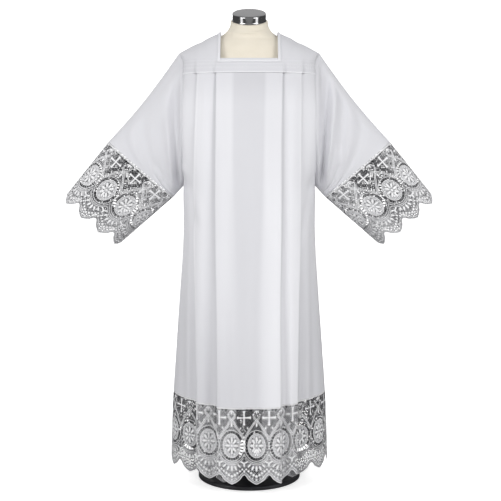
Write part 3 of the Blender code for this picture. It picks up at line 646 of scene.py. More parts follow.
def make_yoke(finish):
    """One piece over both shoulders and the nape, with the square neck left open."""
    edge = float(smooth(BODY, "half_width", BAND_TOP_Z))
    wide = NECK_HALF_WIDTH + BINDING_WIDTH
    side = np.concatenate([np.linspace(edge, wide, 30)[:-1], np.linspace(wide, NECK_HALF_WIDTH, 3)[:-1]])
    inside = np.linspace(NECK_HALF_WIDTH, -NECK_HALF_WIDTH, 27)
    xs = np.concatenate([side, inside, -side[::-1]])[::-1]
    shares = np.concatenate([np.linspace(-1, NAPE_SHARE, 44), np.linspace(NAPE_SHARE, 1, 12)[1:]])
    share, x = np.meshgrid(shares, xs, indexing="ij")
    normal = yoke_normal(x, share)
    # A soft ripple, and a hollow beside each sleeve
    soft = YOKE_RIPPLE * np.sin(x * 60 + share * 2.0) * np.sin(share * 5.0 + 0.7) * (1 - share**2)
    soft -= YOKE_HOLLOW * bell(np.abs(x) - 0.150 - 0.02 * share, 0.012) * (1 - share**2)
    points = yoke_point(x, share) + normal * soft[..., None]
    faces = grid_faces(len(shares), len(xs))
    middle = (x.ravel()[faces].mean(1), share.ravel()[faces].mean(1))
    kept = ~((np.abs(middle[0]) < NECK_HALF_WIDTH) & (middle[1] < NAPE_SHARE))
    return shell(new_object("yoke_cloth", points, faces[kept], finish, joined(x, share * 0.12)))


BINDING_NAPE_SHARE = 0.07
BINDING_COVER = 0.62
# The roll's profile from its inner edge to its outer one: share of the width, share of the rise
BINDING_PROFILE = ((0, 0), (0.12, 0.9), (0.35, 1.25), (0.65, 1.2), (0.80, 0.75), (0.9, 0.9), (1, 0))
BINDING_RISE = 0.0011
BINDING_STITCHES = 0.80


def neck_pairs():
    """Inner and outer edges of the neck binding, from the middle of the front round to the nape."""
    neck, wide, foot = NECK_HALF_WIDTH, NECK_HALF_WIDTH + BINDING_WIDTH, BAND_TOP_Z - BINDING_WIDTH

    def on_band(x, height):
        turn = turn_at(x, BAND_TOP_Z)
        return band_point(-1, math.pi - turn if x > 0 else turn, height, BINDING_OUT)

    def on_yoke(x, share):
        return yoke_point(x, share) + yoke_normal(x, share) * BINDING_OUT

    across = np.linspace(0.0, neck, 12)
    pairs = [(on_band(x, BAND_TOP_Z), on_band(x, foot)) for x in across]
    corner = pairs[-1][0]
    pairs += [(corner, on_band(wide, foot)), (corner, on_yoke(wide, -1.0))]
    shares = np.linspace(-1.0, NAPE_SHARE, 40)[1:]
    pairs += [(on_yoke(neck, share), on_yoke(wide, share)) for share in shares]
    nape = NAPE_SHARE + BINDING_NAPE_SHARE
    pairs.append((pairs[-1][0], on_yoke(wide, nape)))
    pairs += [(on_yoke(x, NAPE_SHARE), on_yoke(x, nape)) for x in np.linspace(neck, 0.0, 12)]
    return np.array(pairs)


def make_binding(finish):
    """A rolled strip on the edge of the square neck, with a line of stitches along it."""
    half = neck_pairs()
    ring = np.concatenate([half, half[-2:0:-1] * [-1, 1, 1]])
    inner, outer = ring[:, 0], ring[:, 1]
    ahead = np.roll(inner + outer, -1, 0) - np.roll(inner + outer, 1, 0)
    up = away_from([0, 0, 1.2], inner, unit(np.cross(ahead, outer - inner)))
    rows = [between(inner, outer, across) + up * rise * BINDING_RISE for across, rise in BINDING_PROFILE]
    length = lengths_along(closed(inner))[1:]
    uv = [(s, row * 0.002) for row in range(len(rows)) for s in length]
    dense = np.full(len(uv), BINDING_COVER)
    roll = cloth_grid("neck_binding_roll", np.array(rows), finish, uv, closed=True, dense=dense)
    return roll, between(inner, outer, BINDING_STITCHES) + up * 0.0012


# ---------------------------------------------------------------- sleeves


def ring_x(height):
    plain = smooth(BODY, "half_width", np.minimum(height, BAND_TOP_Z))
    over = np.maximum(height - BAND_TOP_Z, 0.0) / (SHOULDER_END_Z - BAND_TOP_Z)
    return between(plain, SHOULDER_END_X, np.minimum(over, 1.0)) + ARMHOLE_GAP


def armhole_ring(angle):
    height = ARMHOLE_Z + ARMHOLE_HALF_HEIGHT * np.cos(angle)
    forward = np.copysign(armhole_half_width(height), np.sin(angle))
    return joined(ring_x(height), -forward, height)


def oval_ring(oval, angle):
    middle, up, half_depth = oval
    cos, sin = np.cos(angle)[..., None], np.sin(angle)[..., None]
    return np.array(middle) + np.array(up) * cos + np.array([0, -half_depth, 0]) * sin


def fold_push(side, angle, out):
    """How far a sleeve's folds sink in at an angle from its top and a way out from its armhole."""
    push = np.zeros_like(angle)
    for fold in SLEEVE_FOLDS[SLEEVE_FOLDS["side"] == side]:
        top, foot = fold["top_angle"], fold["foot_angle"]
        down = (np.degrees(angle) - top) / (foot - top)
        line = between(fold["top_out"], fold["foot_out"], down)
        across = bell(out - line, fold["half_width"])
        push += fold["depth"] * across * eased(down / 0.25) * eased((1 - down) / 0.25)
    return push * eased(out / 0.012) * eased((SLEEVE_REACH - out) / 0.06)


def sleeve_point(side, angle, out):
    """The sleeve; out runs from 0 at its armhole to SLEEVE_REACH at its cuff seam."""
    start, end = armhole_ring(angle), oval_ring(CUFF, angle)
    way = end - start
    run = np.maximum(way[..., 0], SLEEVE_LEAST_RUN)
    share = (1 - np.exp(-out / run)) / (1 - np.exp(-SLEEVE_REACH / run))
    share = share * (1 - 2 * SEAM_GAP / np.linalg.norm(way, axis=-1))
    point = start + way * share[..., None]
    point[..., 2] -= SLEEVE_SAG * np.maximum(np.cos(angle), 0.0) ** 2 * np.sin(math.pi * share)
    front = np.sin(angle) > 0
    shown = np.where(front, angle, 2 * math.pi - angle)
    push = fold_push(side, shown, out)
    point[..., 1] += np.where(front, push, -HIDDEN_FOLD_SHARE * push)
    point[..., 0] *= side
    return point


SLEEVE_COLUMNS, SLEEVE_ROWS = 150, 96
# Rows lie closer together near the armhole
SLEEVE_SPREAD = 1.25
# The edge at the armhole is tucked in behind the body: how far in, and how much smaller
SLEEVE_TUCK, SLEEVE_TUCK_SCALE = 0.0045, (1.0, 0.965, 0.985)


def make_sleeve(label, side, finish):
    out = SLEEVE_REACH * np.linspace(0, 1, SLEEVE_ROWS) ** SLEEVE_SPREAD
    outs, angles = np.meshgrid(out, full_circle(SLEEVE_COLUMNS), indexing="ij")
    points = sleeve_point(side, angles, outs)
    middle = np.array([side * 0.205, 0, ARMHOLE_Z])
    tucked = middle + (points[:1] - middle) * SLEEVE_TUCK_SCALE + [-side * SLEEVE_TUCK, 0, 0]
    points = np.concatenate([tucked, points])
    angles, outs = np.concatenate([angles[:1], angles]), np.concatenate([outs[:1] - 0.004, outs])
    uv = joined(angles * 0.12, outs)
    return cloth_grid(f"sleeve_{label}_cloth", points, finish, uv, side > 0, closed=True)


# ---------------------------------------------------------------- lace, drawn in millimetres

# One repeat is a medallion with half a cross on either side. u runs along the lace from the
# medallion's middle, v down from the lace's top edge, and h out of the cloth.
HALF = 38.0
RING_V = 115.0
SCALLOP_U = (0.0, 11.0, 25.0, 32.5, 38.0)
SCALLOP_V = (232.0, 227.0, 217.0, 205.5, 203.0)
# The outlines of a medallion's ring and of the net's part inside it: half-width, half-height
RING_OVAL, INSIDE_OVAL = (36.0, 45.5), (25.2, 34.6)
PICOTS = 22
ARCH_TOP, ARCH_FALL, ARCH_CURVE = 36.0, 54.0, 1.18
NET_COLUMNS, NET_ROW = 12, 3.3
NET_HALF_WIDTH, NET_HALF_HEIGHT = 2.15, 2.35
# How far the middles of the net's gaps stay clear of the scallops, cords, leaves and large gaps
CLEAR_OF_EDGE, CLEAR_OF_CORD, CLEAR_OF_LEAF, CLEAR_OF_GAP = 4.4, 1.75, 1.7, 2.5
CORD_FOOT = 0.28
LEAF_CREST, LEAF_MIDDLE, LEAF_CREST_SHARE = 1.0, 0.8, 0.55
# The part of a medallion inside its ring, in metres
MEDALLION_HALF_WIDTH, MEDALLION_HALF_HEIGHT = 0.0260, 0.0356


def on_oval(half_width, half_height, degrees):
    """A point on an oval round a medallion; 0 degrees is its top."""
    angle = np.radians(degrees)
    return joined(half_width * np.sin(angle), RING_V - half_height * np.cos(angle))


def scallop_line(raised=0.0, lobes=0.9):
    """The scalloped edge, from one notch to the next, with its small picots."""
    u = np.linspace(-HALF, HALF, 305)
    v = np.interp(np.abs(u), SCALLOP_U, SCALLOP_V)
    v[8:-8] = np.convolve(v, np.ones(17) / 17, "valid")
    line = joined(u, v)
    length = lengths_along(line)
    at = np.linspace(0, length[-1], PICOTS * 3 + 1)
    points = points_at(line, length, at)
    ahead = unit(np.gradient(points, axis=0))
    down = joined(-ahead[:, 1], ahead[:, 0])
    wave = lobes * np.abs(np.sin(math.pi * PICOTS * at / length[-1])) - raised
    points = points + down * wave[:, None]
    points[[0, -1], 0] = [-HALF, HALF]
    return points


def arch_v(u):
    """How low an arch's upper line lies at u, from its crown to its foot below the cross."""
    return ARCH_TOP + ARCH_FALL * np.abs(u / HALF) ** ARCH_CURVE


def arch_line(drop):
    u = np.linspace(0, HALF, 19)
    return joined(u, arch_v(u) + drop)


def both(points):
    """A shape and its mirror image."""
    return [points, points * [-1, 1]]


def beside(shapes):
    """Shapes moved onto the cross's line, where one repeat ends and the next begins."""
    return [np.asarray(shape, float) + [HALF, 0] for shape in shapes]


def lace_cords():
    """Raised cords: their lines, half-widths and heights; the last says whether it is a ring."""
    cords = []

    def cord(lines, half_width, height=0.75, ring=False):
        for line in lines:
            cords.append((np.asarray(line, float), half_width, height, ring))

    across = np.linspace(-HALF, HALF, 20)
    cord([joined(across, np.full(20, v)) for v in (0.9, 3.1)], 0.75, 0.6)
    cord([scallop_line(0.9)], 0.95, 0.9)
    cord([scallop_line(6.3, 0.0)[1:-1:2]], 0.6, 0.6)
    for wide, high, count, thick, raised in (
        (36.9, 46.4, 60, 0.75, 0.8),
        (26.4, 36.0, 48, 0.85, 0.9),
        (22.4, 31.6, 44, 0.45, 0.5),
    ):
        cord([on_oval(wide, high, np.linspace(0, 360, count + 1)[:-1])], thick, raised, True)
    for drop in (0.0, 6.4):
        cord(both(arch_line(drop)), 0.85, 0.8)
        cord(both(np.array([(0.0, 36.0), (-6.0, 29.0), (-11.0, 22.5)]) + [0, drop]), 0.8, 0.75)
    for wide, high, start, count, thick in ((42.5, 52.5, 118, 27, 0.7), (46.5, 57.5, 125, 25, 0.6)):
        lower = on_oval(wide, high, np.linspace(start, 360 - start, count))
        cord([lower[np.abs(lower[:, 0]) < HALF]], thick, thick)
    # The cross: slim arms that flare to forked ends
    upright = [(0, v) for v in (9, 12, 20, 30, 42, 50, 54)]
    beam = [(u, 30) for u in (-21, -18, -10, 0, 10, 18, 21)]
    cord(beside([upright, beam]), np.array([1.3, 3.0, 2.1, 1.8, 2.1, 3.0, 1.3]), 1.1)
    for end, way in (((0, 11), (1, 0)), ((0, 51), (1, 0)), ((-19, 30), (0, 1)), ((19, 30), (0, 1))):
        curl = np.array([np.add(end, np.multiply(way, s)) for s in (-4.6, 0.0, 4.6)])
        cord(beside([curl]), np.array([0.8, 1.6, 0.8]), 0.95)
    return cords


def lace_leaves():
    """Raised leaves: middle, the way they point in degrees from straight down, length, width."""
    leaves = []
    for step in range(8):
        angle = step * 45.0
        u, v = on_oval(12.6, 17.6, angle)
        heading = math.degrees(math.atan2(u, v - RING_V))
        leaves.append((u, v, heading, 15.5 if step % 4 else 19.0, 6.6))
        u, v = on_oval(20.0, 28.2, angle + 22.5)
        leaves.append((u, v, 0.0, 3.4, 3.4))
    leaves.append((0.0, RING_V, 0.0, 7.0, 7.0))
    on_either_side = (
        (4.6, 12.0, 35.0, 9.5, 3.4),
        (9.5, 20.0, 60.0, 8.0, 3.2),
        (27.0, 62.0, -32.0, 8.5, 3.4),
        (11.5, 182.5, 24.0, 15.0, 6.0),
        (22.0, 175.5, 44.0, 14.0, 5.6),
        (31.5, 165.0, 62.0, 12.0, 5.0),
        (9.0, 203.5, 0.0, 7.6, 7.6),
        (16.8, 197.5, 0.0, 6.6, 6.6),
        (24.6, 192.0, 0.0, 6.2, 6.2),
        (31.8, 186.0, 0.0, 5.6, 5.6),
        (12.5, 214.0, 0.0, 3.6, 3.6),
        (20.5, 208.5, 0.0, 3.4, 3.4),
    )
    for way in (-1, 1):
        leaves += [(way * u, v, way * heading, *size) for u, v, heading, *size in on_either_side]
    upright = (
        (HALF, 172.0, 15.0, 5.4),
        (HALF, 192.5, 7.6, 6.0),
        (0.0, 13.5, 13.0, 4.4),
        (0.0, 52.0, 13.0, 5.4),
        (0.0, 184.0, 17.0, 6.6),
        (0.0, 207.5, 8.0, 8.0),
        (0.0, 218.0, 5.4, 5.4),
    )
    return leaves + [(u, v, 0.0, length, width) for u, v, length, width in upright]


def leaf_shape(u, v, degrees, length, width, count=10):
    """The outline of a leaf, or of a disc where its length is its width."""
    angle = full_circle(count)
    thin = 1.0 if length == width else 0.86
    along = -np.cos(angle) * length / 2
    across = np.sign(np.sin(angle)) * np.abs(np.sin(angle)) ** (1 / thin) * width / 2
    sin, cos = math.sin(math.radians(degrees)), math.cos(math.radians(degrees))
    return joined(u + along * sin + across * cos, v + along * cos - across * sin)


def triangle(u, half_width, top, tip):
    return [(u - half_width, top), (u + half_width, top), (u, tip)]


def diamond(u, v, half_width, half_height):
    return [(u - half_width, v), (u, v - half_height), (u + half_width, v), (u, v + half_height)]


def window(inner, outer, across, narrow, wide):
    narrow, wide = across * narrow, across * wide
    return [inner - narrow, outer - wide, outer + wide, inner + narrow]


def large_gaps():
    """The gaps that give the lace its pattern; the solids have the largest of them."""
    gaps = []
    for step in range(26):
        angle = math.radians(step * 360 / 26)
        out = np.array([math.sin(angle), -math.cos(angle)])
        outer = on_oval(*RING_OVAL, math.degrees(angle))
        gaps.append(window(outer - out * 8.6, outer, np.array([-out[1], out[0]]), 2.5, 3.15))
    for way in (-1, 1):
        u = way * HALF
        gaps += [triangle(way * 17, 4.7, 4.6, 15.0), triangle(way * 27, 3.4, 4.6, 11.5)]
        gaps += [triangle(u + at, 1.9, 4.6, 9.5) for at in (-8.0, 8.0)]
        gaps += [triangle(u, 4.2, 98.5, 109.5), [(u - 4.0, 132.0), (u, 121.0), (u + 4.0, 132.0)]]
        gaps += [diamond(u, v, 1.3, 2.0) for v in (112.6, 117.6)]
        rungs = np.linspace(0.10, 0.95, 9)
        gaps += [diamond(u * rung, arch_v(HALF * rung) + 3.2, 1.1, 1.5) for rung in rungs]
    for angle in np.arange(22.5, 360, 45.0):
        inner, outer = on_oval(8.2, 11.5, angle), on_oval(17.0, 24.0, angle)
        across = unit(np.array([-(outer - inner)[1], (outer - inner)[0]]))
        gaps.append(window(inner, outer, across, 0.7, 1.9))
    return [np.array(gap, float) for gap in gaps]


def distance_to_line(points, line):
    """How far points lie from a line of several segments."""
    best = np.full(len(points), 1e9)
    for a, b in zip(line, line[1:]):
        way = b - a
        share = np.clip((points - a) @ way / max(way @ way, 1e-9), 0, 1)
        best = np.minimum(best, np.linalg.norm(points - a - share[:, None] * way, axis=1))
    return best


def oval_share(points, oval):
    """How far points lie from a medallion's middle, as a share of an oval's reach."""
    return np.hypot(points[:, 0] / oval[0], (points[:, 1] - RING_V) / oval[1])


def net_gaps(gaps, cords, leaves):
    """The small gaps of the ground, kept clear of everything else in the pattern."""
    step = 2 * HALF / NET_COLUMNS
    spots = []
    for row in range(int(232 / NET_ROW) + 1):
        shift = 0.5 if row % 2 else 0.0
        columns = range(NET_COLUMNS + 1)
        spots += [(-HALF + (column + shift) * step, 7.5 + row * NET_ROW) for column in columns]
    spots = np.array([spot for spot in spots if spot[0] <= HALF + 0.01])
    clear = np.interp(np.abs(spots[:, 0]), SCALLOP_U, SCALLOP_V) - spots[:, 1] > CLEAR_OF_EDGE
    for shift in (-2 * HALF, 0.0, 2 * HALF):
        here = spots - [shift, 0]
        clear &= (oval_share(here, RING_OVAL) > 1.085) | (oval_share(here, INSIDE_OVAL) < 0.90)
        for line, half_width, _, ring in cords:
            near = closed(line) if ring else line
            reach = half_width if np.isscalar(half_width) else float(half_width.max()) * 0.8
            clear &= distance_to_line(here, near) > reach + CLEAR_OF_CORD
        for u, v, degrees, length, width in leaves:
            turn = math.radians(degrees)
            way = np.array([math.sin(turn), math.cos(turn)]) * max(length - width, 0.1) / 2
            spine = np.array([(u, v) - way, (u, v) + way])
            clear &= distance_to_line(here, spine) > width / 2 + CLEAR_OF_LEAF
        for gap in gaps:
            middle = gap.mean(0)
            reach = np.linalg.norm(gap - middle, axis=1).max()
            close = np.linalg.norm(here - middle, axis=1) < reach + 4.5
            clear &= ~close | (distance_to_line(here, closed(gap)) > CLEAR_OF_GAP)
    return [np.array(diamond(u, v, NET_HALF_WIDTH, NET_HALF_HEIGHT)) for u, v in spots[clear]]


def flat_tile():
    """One repeat of the lace's ground with all its gaps, as flat points and triangles."""
    cords, leaves, gaps = lace_cords(), lace_leaves(), large_gaps()
    gaps = gaps + net_gaps(gaps, cords, leaves)
    edge = scallop_line()
    top = [(u, 0.0) for u in np.linspace(HALF, -HALF, 15)]
    side = [(HALF, v) for v in (160.0, 100.0, 50.0)]
    border = np.array([*edge, *side, *top, *[(-u, v) for u, v in side[::-1]]])
    loops, corners = [], []
    for loop in [border, *gaps]:
        a, b = loop, np.roll(loop, -1, 0)
        area = (a[:, 0] * b[:, 1] - b[:, 0] * a[:, 1]).sum()
        loops.append(list(range(len(corners), len(corners) + len(loop))))
        corners += [Vector(point) for point in (loop if area > 0 else loop[::-1])]
    points, _, faces, _, _, origins = geometry.delaunay_2d_cdt(corners, [], loops, 1, 1e-5)
    kept = [tuple(face) for face, loop in zip(faces, origins) if list(loop) == [0]]
    points = np.array([tuple(point) for point in points])
    return points, np.array(kept), cords, leaves


def raised_parts(cords, leaves):
    """The cords and leaves that stand on the ground: points (u, v, h) and triangles."""
    pieces = []

    def piece(levels, faces):
        points = [np.insert(row, 2, level, axis=1) for row, level in levels]
        pieces.append((np.concatenate(points), faces))

    for line, half_width, height, ring in cords:
        ahead = unit(np.roll(line, -1, 0) - np.roll(line, 1, 0) if ring else np.gradient(line, axis=0))
        across = joined(-ahead[:, 1], ahead[:, 0]) * np.reshape(half_width, (-1, 1))
        levels = ((line - across, CORD_FOOT), (line, height), (line + across, CORD_FOOT))
        piece(levels, halved(grid_faces(3, len(line), closed=ring)))
    for leaf in leaves:
        rim = leaf_shape(*leaf)
        middle, count = rim.mean(0), len(rim)
        fan = [(count + i, count + (i + 1) % count, 2 * count) for i in range(count)]
        levels = (
            (rim, CORD_FOOT),
            (middle + (rim - middle) * LEAF_CREST_SHARE, LEAF_CREST),
            (middle[None], LEAF_MIDDLE),
        )
        piece(levels, np.concatenate([halved(grid_faces(2, count, closed=True)), fan]))
    return merged(pieces)


def doubled_areas(points, faces):
    """Twice the area of each flat triangle, negative where it is turned over."""
    a, b, c = (points[faces[:, corner]] for corner in range(3))
    return (b[:, 0] - a[:, 0]) * (c[:, 1] - a[:, 1]) - (b[:, 1] - a[:, 1]) * (c[:, 0] - a[:, 0])


def facing_out(points, faces):
    """A flat mesh with its triangles turned so that all face the same way."""
    return points, np.where(doubled_areas(points, faces)[:, None] > 0, faces, faces[:, ::-1])


def clipped(points, faces, end):
    """What of a flat mesh lies between the start of the lace and its end."""
    if points[:, 0].min() >= 0 and points[:, 0].max() <= end:
        return points, faces
    tile = bmesh.new()
    corners = [tile.verts.new(point) for point in points]
    for face in faces:
        tile.faces.new([corners[i] for i in face])
    for at, way in ((0, -1), (end, 1)):
        geom, place = [*tile.verts, *tile.edges, *tile.faces], (at, 0, 0)
        bmesh.ops.bisect_plane(tile, geom=geom, plane_co=place, plane_no=(way, 0, 0), clear_outer=True)
    bmesh.ops.triangulate(tile, faces=tile.faces)
    tile.verts.index_update()
    points = np.array([tuple(vert.co) for vert in tile.verts]).reshape(-1, 3)
    faces = np.array([[vert.index for vert in face.verts] for face in tile.faces], int).reshape(-1, 3)
    tile.free()
    return points, faces


def along_lace(points, faces, width, first_cross):
    """One repeat copied all along a piece of lace, cut off at its ends and joined up."""
    pieces = []
    end, least = width * 1000, 0.05
    for repeat in range(-1, int(width / LACE_PITCH) + 2):
        middle = (first_cross + (repeat + 0.5) * LACE_PITCH) * 1000
        moved = points + [middle, 0, 0]
        if moved[:, 0].max() > least and moved[:, 0].min() < end - least:
            pieces.append(clipped(moved, faces, end))
    found, faces = merged(pieces)
    cells = np.round(found / 0.01 + 0.37)
    _, first, same = np.unique(cells, axis=0, return_index=True, return_inverse=True)
    faces = same.ravel()[faces]
    whole = (faces != np.roll(faces, 1, axis=1)).all(axis=1)
    return found[first], faces[whole]


def place_lace(points, place, sign):
    """Flat lace laid on the cloth; place(along, down) gives the cloth's points."""
    along, down, out = points.T / 1000
    step = 0.0006
    ahead = place(along + step, down) - place(along - step, down)
    lower = place(along, down + step) - place(along, down - step)
    return place(along, down) + unit(np.cross(lower, ahead)) * sign * out[:, None]


@functools.cache
def lace_tile():
    """One repeat of the lace: its ground and what is raised on it."""
    points, faces, cords, leaves = flat_tile()
    return facing_out(np.insert(points, 2, 0, axis=1), faces), facing_out(*raised_parts(cords, leaves))


def make_lace(name, width, first_cross, place, sign, doubled_and_painted_light, ground_finish, cord_finish):
    """A piece of lace and its raised cords, with its width and the area left between its gaps."""
    tile, raised = lace_tile()
    flat, faces = along_lace(*tile, width, first_cross)
    area = np.abs(doubled_areas(flat, faces)).sum() / 2e6
    edges = np.concatenate([faces[:, [0, 1]], faces[:, [1, 2]], faces[:, [2, 0]]])
    _, index, uses = np.unique(np.sort(edges, axis=1), axis=0, return_index=True, return_counts=True)
    rim = edges[index[uses == 1]]
    count, half = len(flat), LACE_SHELL * 1000 / 2
    both_sides = np.concatenate([flat + [0, 0, half], flat - [0, 0, half]])
    end, start = rim.T
    walls = [joined(start, end, end + count), joined(start, end + count, start + count)]
    triangles = np.concatenate([faces, faces[:, ::-1] + count, *walls])
    if sign > 0:
        triangles = triangles[:, ::-1]
    uv = np.tile(flat[:, :2] / 1000, (2, 1))
    dense = doubled_and_painted_light(uv[:, 0])
    uv[:, 0] -= first_cross
    laid = place_lace(both_sides, place, sign)
    ground = new_object(f"{name}_ground", laid, triangles, ground_finish, uv)
    ground.data.set_sharp_from_angle(angle=math.radians(50))
    add_attribute(ground, "doubled_and_painted_light", dense)
    flat, faces = along_lace(*raised, width, first_cross)
    if sign > 0:
        faces = faces[:, ::-1]
    laid = place_lace(flat, place, sign)
    cords = new_object(f"{name}_cords", laid, faces, cord_finish, flat[:, :2] / 1000)
    return ground, cords, width, area


def make_hem_lace(label, cloth, *finishes):
    side, width = cloth.side, cloth.width
    first = (width / 2 - side * HEM_CROSS_X) % LACE_PITCH

    def place(along, down):
        along = width - along if side > 0 else along
        along = np.clip(along, 0, width)
        return cloth.point(along, cloth.lace_top(along) - down)

    def doubled_and_painted_light(along):
        return cloth.doubled_and_painted_light(width - along if side > 0 else along)

    return make_lace(f"hem_lace_{label}", width, first, place, 1, doubled_and_painted_light, *finishes)


def make_cuff_lace(label, side, face, *finishes):
    dense = np.linspace(0.0, math.pi, 481)
    ring = (oval_ring(CUFF, dense) + oval_ring(CUFF_LACE_END, dense)) / 2
    length = lengths_along(ring)
    trim = 4 * SEAM_GAP
    width = float(length[-1]) - trim

    def place(along, down):
        angle = np.interp(along + trim / 2, length, dense) * face
        start, end = oval_ring(CUFF, angle), oval_ring(CUFF_LACE_END, angle)
        return between(start, end, ((SEAM_GAP + down) / LACE_DEPTH)[:, None]) * [side, 1, 1]

    def doubled_and_painted_light(along):
        """Painted light: the net is painted lighter over its first 30% and, more so, over its last 40%,
        where the photo's lace looks denser.
        """
        share = along / width
        return 0.55 * eased((0.30 - share) / 0.08) + 0.75 * eased((share - 0.60) / 0.08)

    name = f"cuff_lace_{label}_{'front' if face > 0 else 'back'}"
    return make_lace(name, width, CUFF_CROSS * face, place, -side * face, doubled_and_painted_light, *finishes)


# ---------------------------------------------------------------- dress form and stand

# The form's rings: height, half-width, reach to the front and back, shift back, lean in degrees.
FORM = table(
    "height half_width front back shift lean",
    (0.8005, 0.148, 0.096, 0.098, 0, 0),
    (0.812, 0.163, 0.108, 0.11, 0, 0),
    (0.86, 0.172, 0.115, 0.118, 0, 0),
    (0.94, 0.166, 0.109, 0.11, 0, 0),
    (1.02, 0.154, 0.102, 0.098, 0, 0),
    (1.12, 0.166, 0.107, 0.104, 0, 0),
    (1.22, 0.184, 0.108, 0.108, 0, 0),
    (1.29, 0.19, 0.1, 0.103, 0, 0),
    (1.33, 0.19, 0.09, 0.091, 0, 0),
    (1.355, 0.186, 0.078, 0.074, 0, 0),
    (1.375, 0.164, 0.068, 0.062, 0, 0),
    (1.39, 0.136, 0.058, 0.054, 0, 0),
    (1.4, 0.112, 0.051, 0.05, 0, 1),
    (1.411, 0.087, 0.05, 0.051, 0, 4),
    (1.424, 0.071, 0.054, 0.053, 0.002, 10),
    (1.438, 0.062, 0.0555, 0.0555, 0.006, 18),
    (1.4585, 0.058, 0.058, 0.058, 0.01, 23),
)
FORM_ROWS, FORM_COLUMNS = 110, 96
NECK_TOP = (0.0, 0.010, 1.4590)
NECK_LEAN = math.radians(23)
COLLAR_FOOT_Z = 0.0143


def make_form(finish):
    """The limbless form, closed at its foot and at the top of its neck."""
    rows, columns = FORM_ROWS, FORM_COLUMNS
    heights = np.interp(np.linspace(0, 1, rows), np.linspace(0, 1, len(FORM)), FORM["height"])
    height, angle = np.meshgrid(heights, full_circle(columns), indexing="ij")
    reach = np.where(np.sin(angle) > 0, smooth(FORM, "back", height), smooth(FORM, "front", height))
    x = smooth(FORM, "half_width", height) * np.cos(angle)
    y = reach * np.sin(angle)
    lean = np.radians(np.interp(height, FORM["height"], FORM["lean"]))
    shift = np.interp(height, FORM["height"], FORM["shift"])
    points = joined(x, shift + y * np.cos(lean), height + y * np.sin(lean))
    ends = [points[0].mean(0), points[-1].mean(0)]
    points = np.concatenate([points.reshape(-1, 3), ends])
    ring, last, count = np.arange(columns), (rows - 1) * columns, rows * columns
    after = (ring + 1) % columns
    foot = joined(after, ring, np.full(columns, count))
    top = joined(ring + last, after + last, np.full(columns, count + 1))
    triangles = np.concatenate([halved(grid_faces(rows, columns, closed=True)), foot, top])
    uv = np.concatenate([joined(angle * 0.15, height).reshape(-1, 2), [(0, 0), (0, 0)]])
    return new_object("form_jersey", points, triangles, finish, uv)


def turned(name, profile, finish, sides=96):
    """A shape turned round Z from its profile of radii and heights, both ends on the axis."""
    angle = full_circle(sides)
    r, z = np.array(profile, float).T[:, :, None]
    points = joined(r * np.cos(angle), r * np.sin(angle), np.broadcast_to(z, (len(r), sides)))
    obj = new_object(name, points, grid_faces(len(r), sides, flip=True, closed=True), finish)
    tidy = bmesh.new()
    tidy.from_mesh(obj.data)
    bmesh.ops.remove_doubles(tidy, verts=tidy.verts, dist=1e-6)
    bmesh.ops.recalc_face_normals(tidy, faces=tidy.faces)
    tidy.to_mesh(obj.data)
    tidy.free()
    edge = obj.modifiers.new("edge", "EDGE_SPLIT")
    edge.split_angle = math.radians(40)
    return obj


def rounded(corners, radius=0.002, steps=5):
    """A profile with its corners rounded, apart from its two ends."""
    corners = [np.array(corner, float) for corner in corners]
    line = [corners[0]]
    for before, corner, after in zip(corners, corners[1:], corners[2:]):
        a = corner + unit(before - corner) * min(radius, np.linalg.norm(before - corner) / 2)
        b = corner + unit(after - corner) * min(radius, np.linalg.norm(after - corner) / 2)
        for share in np.linspace(0, 1, steps):
            line.append((1 - share) ** 2 * a + 2 * share * (1 - share) * corner + share**2 * b)
    return [*line, corners[-1]]


def make_cap(finish):
    """The polished cap on the neck: a rolled lip at its foot, a straight side and a domed top."""
    side = [(0, 0), (0.0553, 0), (0.0553, 0.0042), (0.0540, 0.0052), (0.0540, 0.0222), (0.0500, 0.0250)]
    dome = [(0.050, 0.0248), (0.040, 0.0256), (0.020, 0.0260), (0.0, 0.0261)]
    cap = turned("neck_cap_metal", rounded(side, 0.0018)[:-1] + dome, finish)
    points = np.array([tuple(vertex.co) for vertex in cap.data.vertices]) + [0, 0, SEAM_GAP]
    cos, sin = math.cos(NECK_LEAN), math.sin(NECK_LEAN)
    points = points @ np.array([[1, 0, 0], [0, cos, sin], [0, -sin, cos]]) + NECK_TOP
    cap.data.vertices.foreach_set("co", points.ravel())
    cap.data.update()
    return cap


def make_stand(metal):
    """The round base, the collar that holds the pole, and the pole."""
    base = [(0, 0), (0.165, 0), (0.165, 0.0112), (0.158, 0.0138), (0.036, 0.0140), (0, 0.0140)]
    collar = [(0, 0), (0.034, 0), (0.034, 0.004), (0.0255, 0.014), (0.0215, 0.030), (0.019, 0.034)]
    collar = [(r, z + COLLAR_FOOT_Z) for r, z in rounded([*collar, (0, 0.034)], 0.003)]
    pole = [(0, 0.0488), (0.0125, 0.0488), (0.0125, 0.7995), (0, 0.7995)]
    return [
        turned("stand_base_disc", rounded(base, 0.0025), metal),
        turned("stand_socket_collar", collar, metal),
        turned("stand_pole_tube", rounded(pole, 0.0006), metal, 48),
    ]


# ---------------------------------------------------------------- sewing

STITCH_STEP, STITCH_LENGTH, STITCH_HALF_WIDTH, STITCH_LIFT = 0.0034, 0.0023, 0.00035, 0.00045
# Where the stitches run: above the band's foot, above the lace, and from a sleeve's two ends
BAND_STITCHES = (0.0046, 0.0190, 0.0294)
HEM_STITCHES, ARMHOLE_STITCHES, CUFF_STITCHES = 0.0042, 0.0040, 0.0045


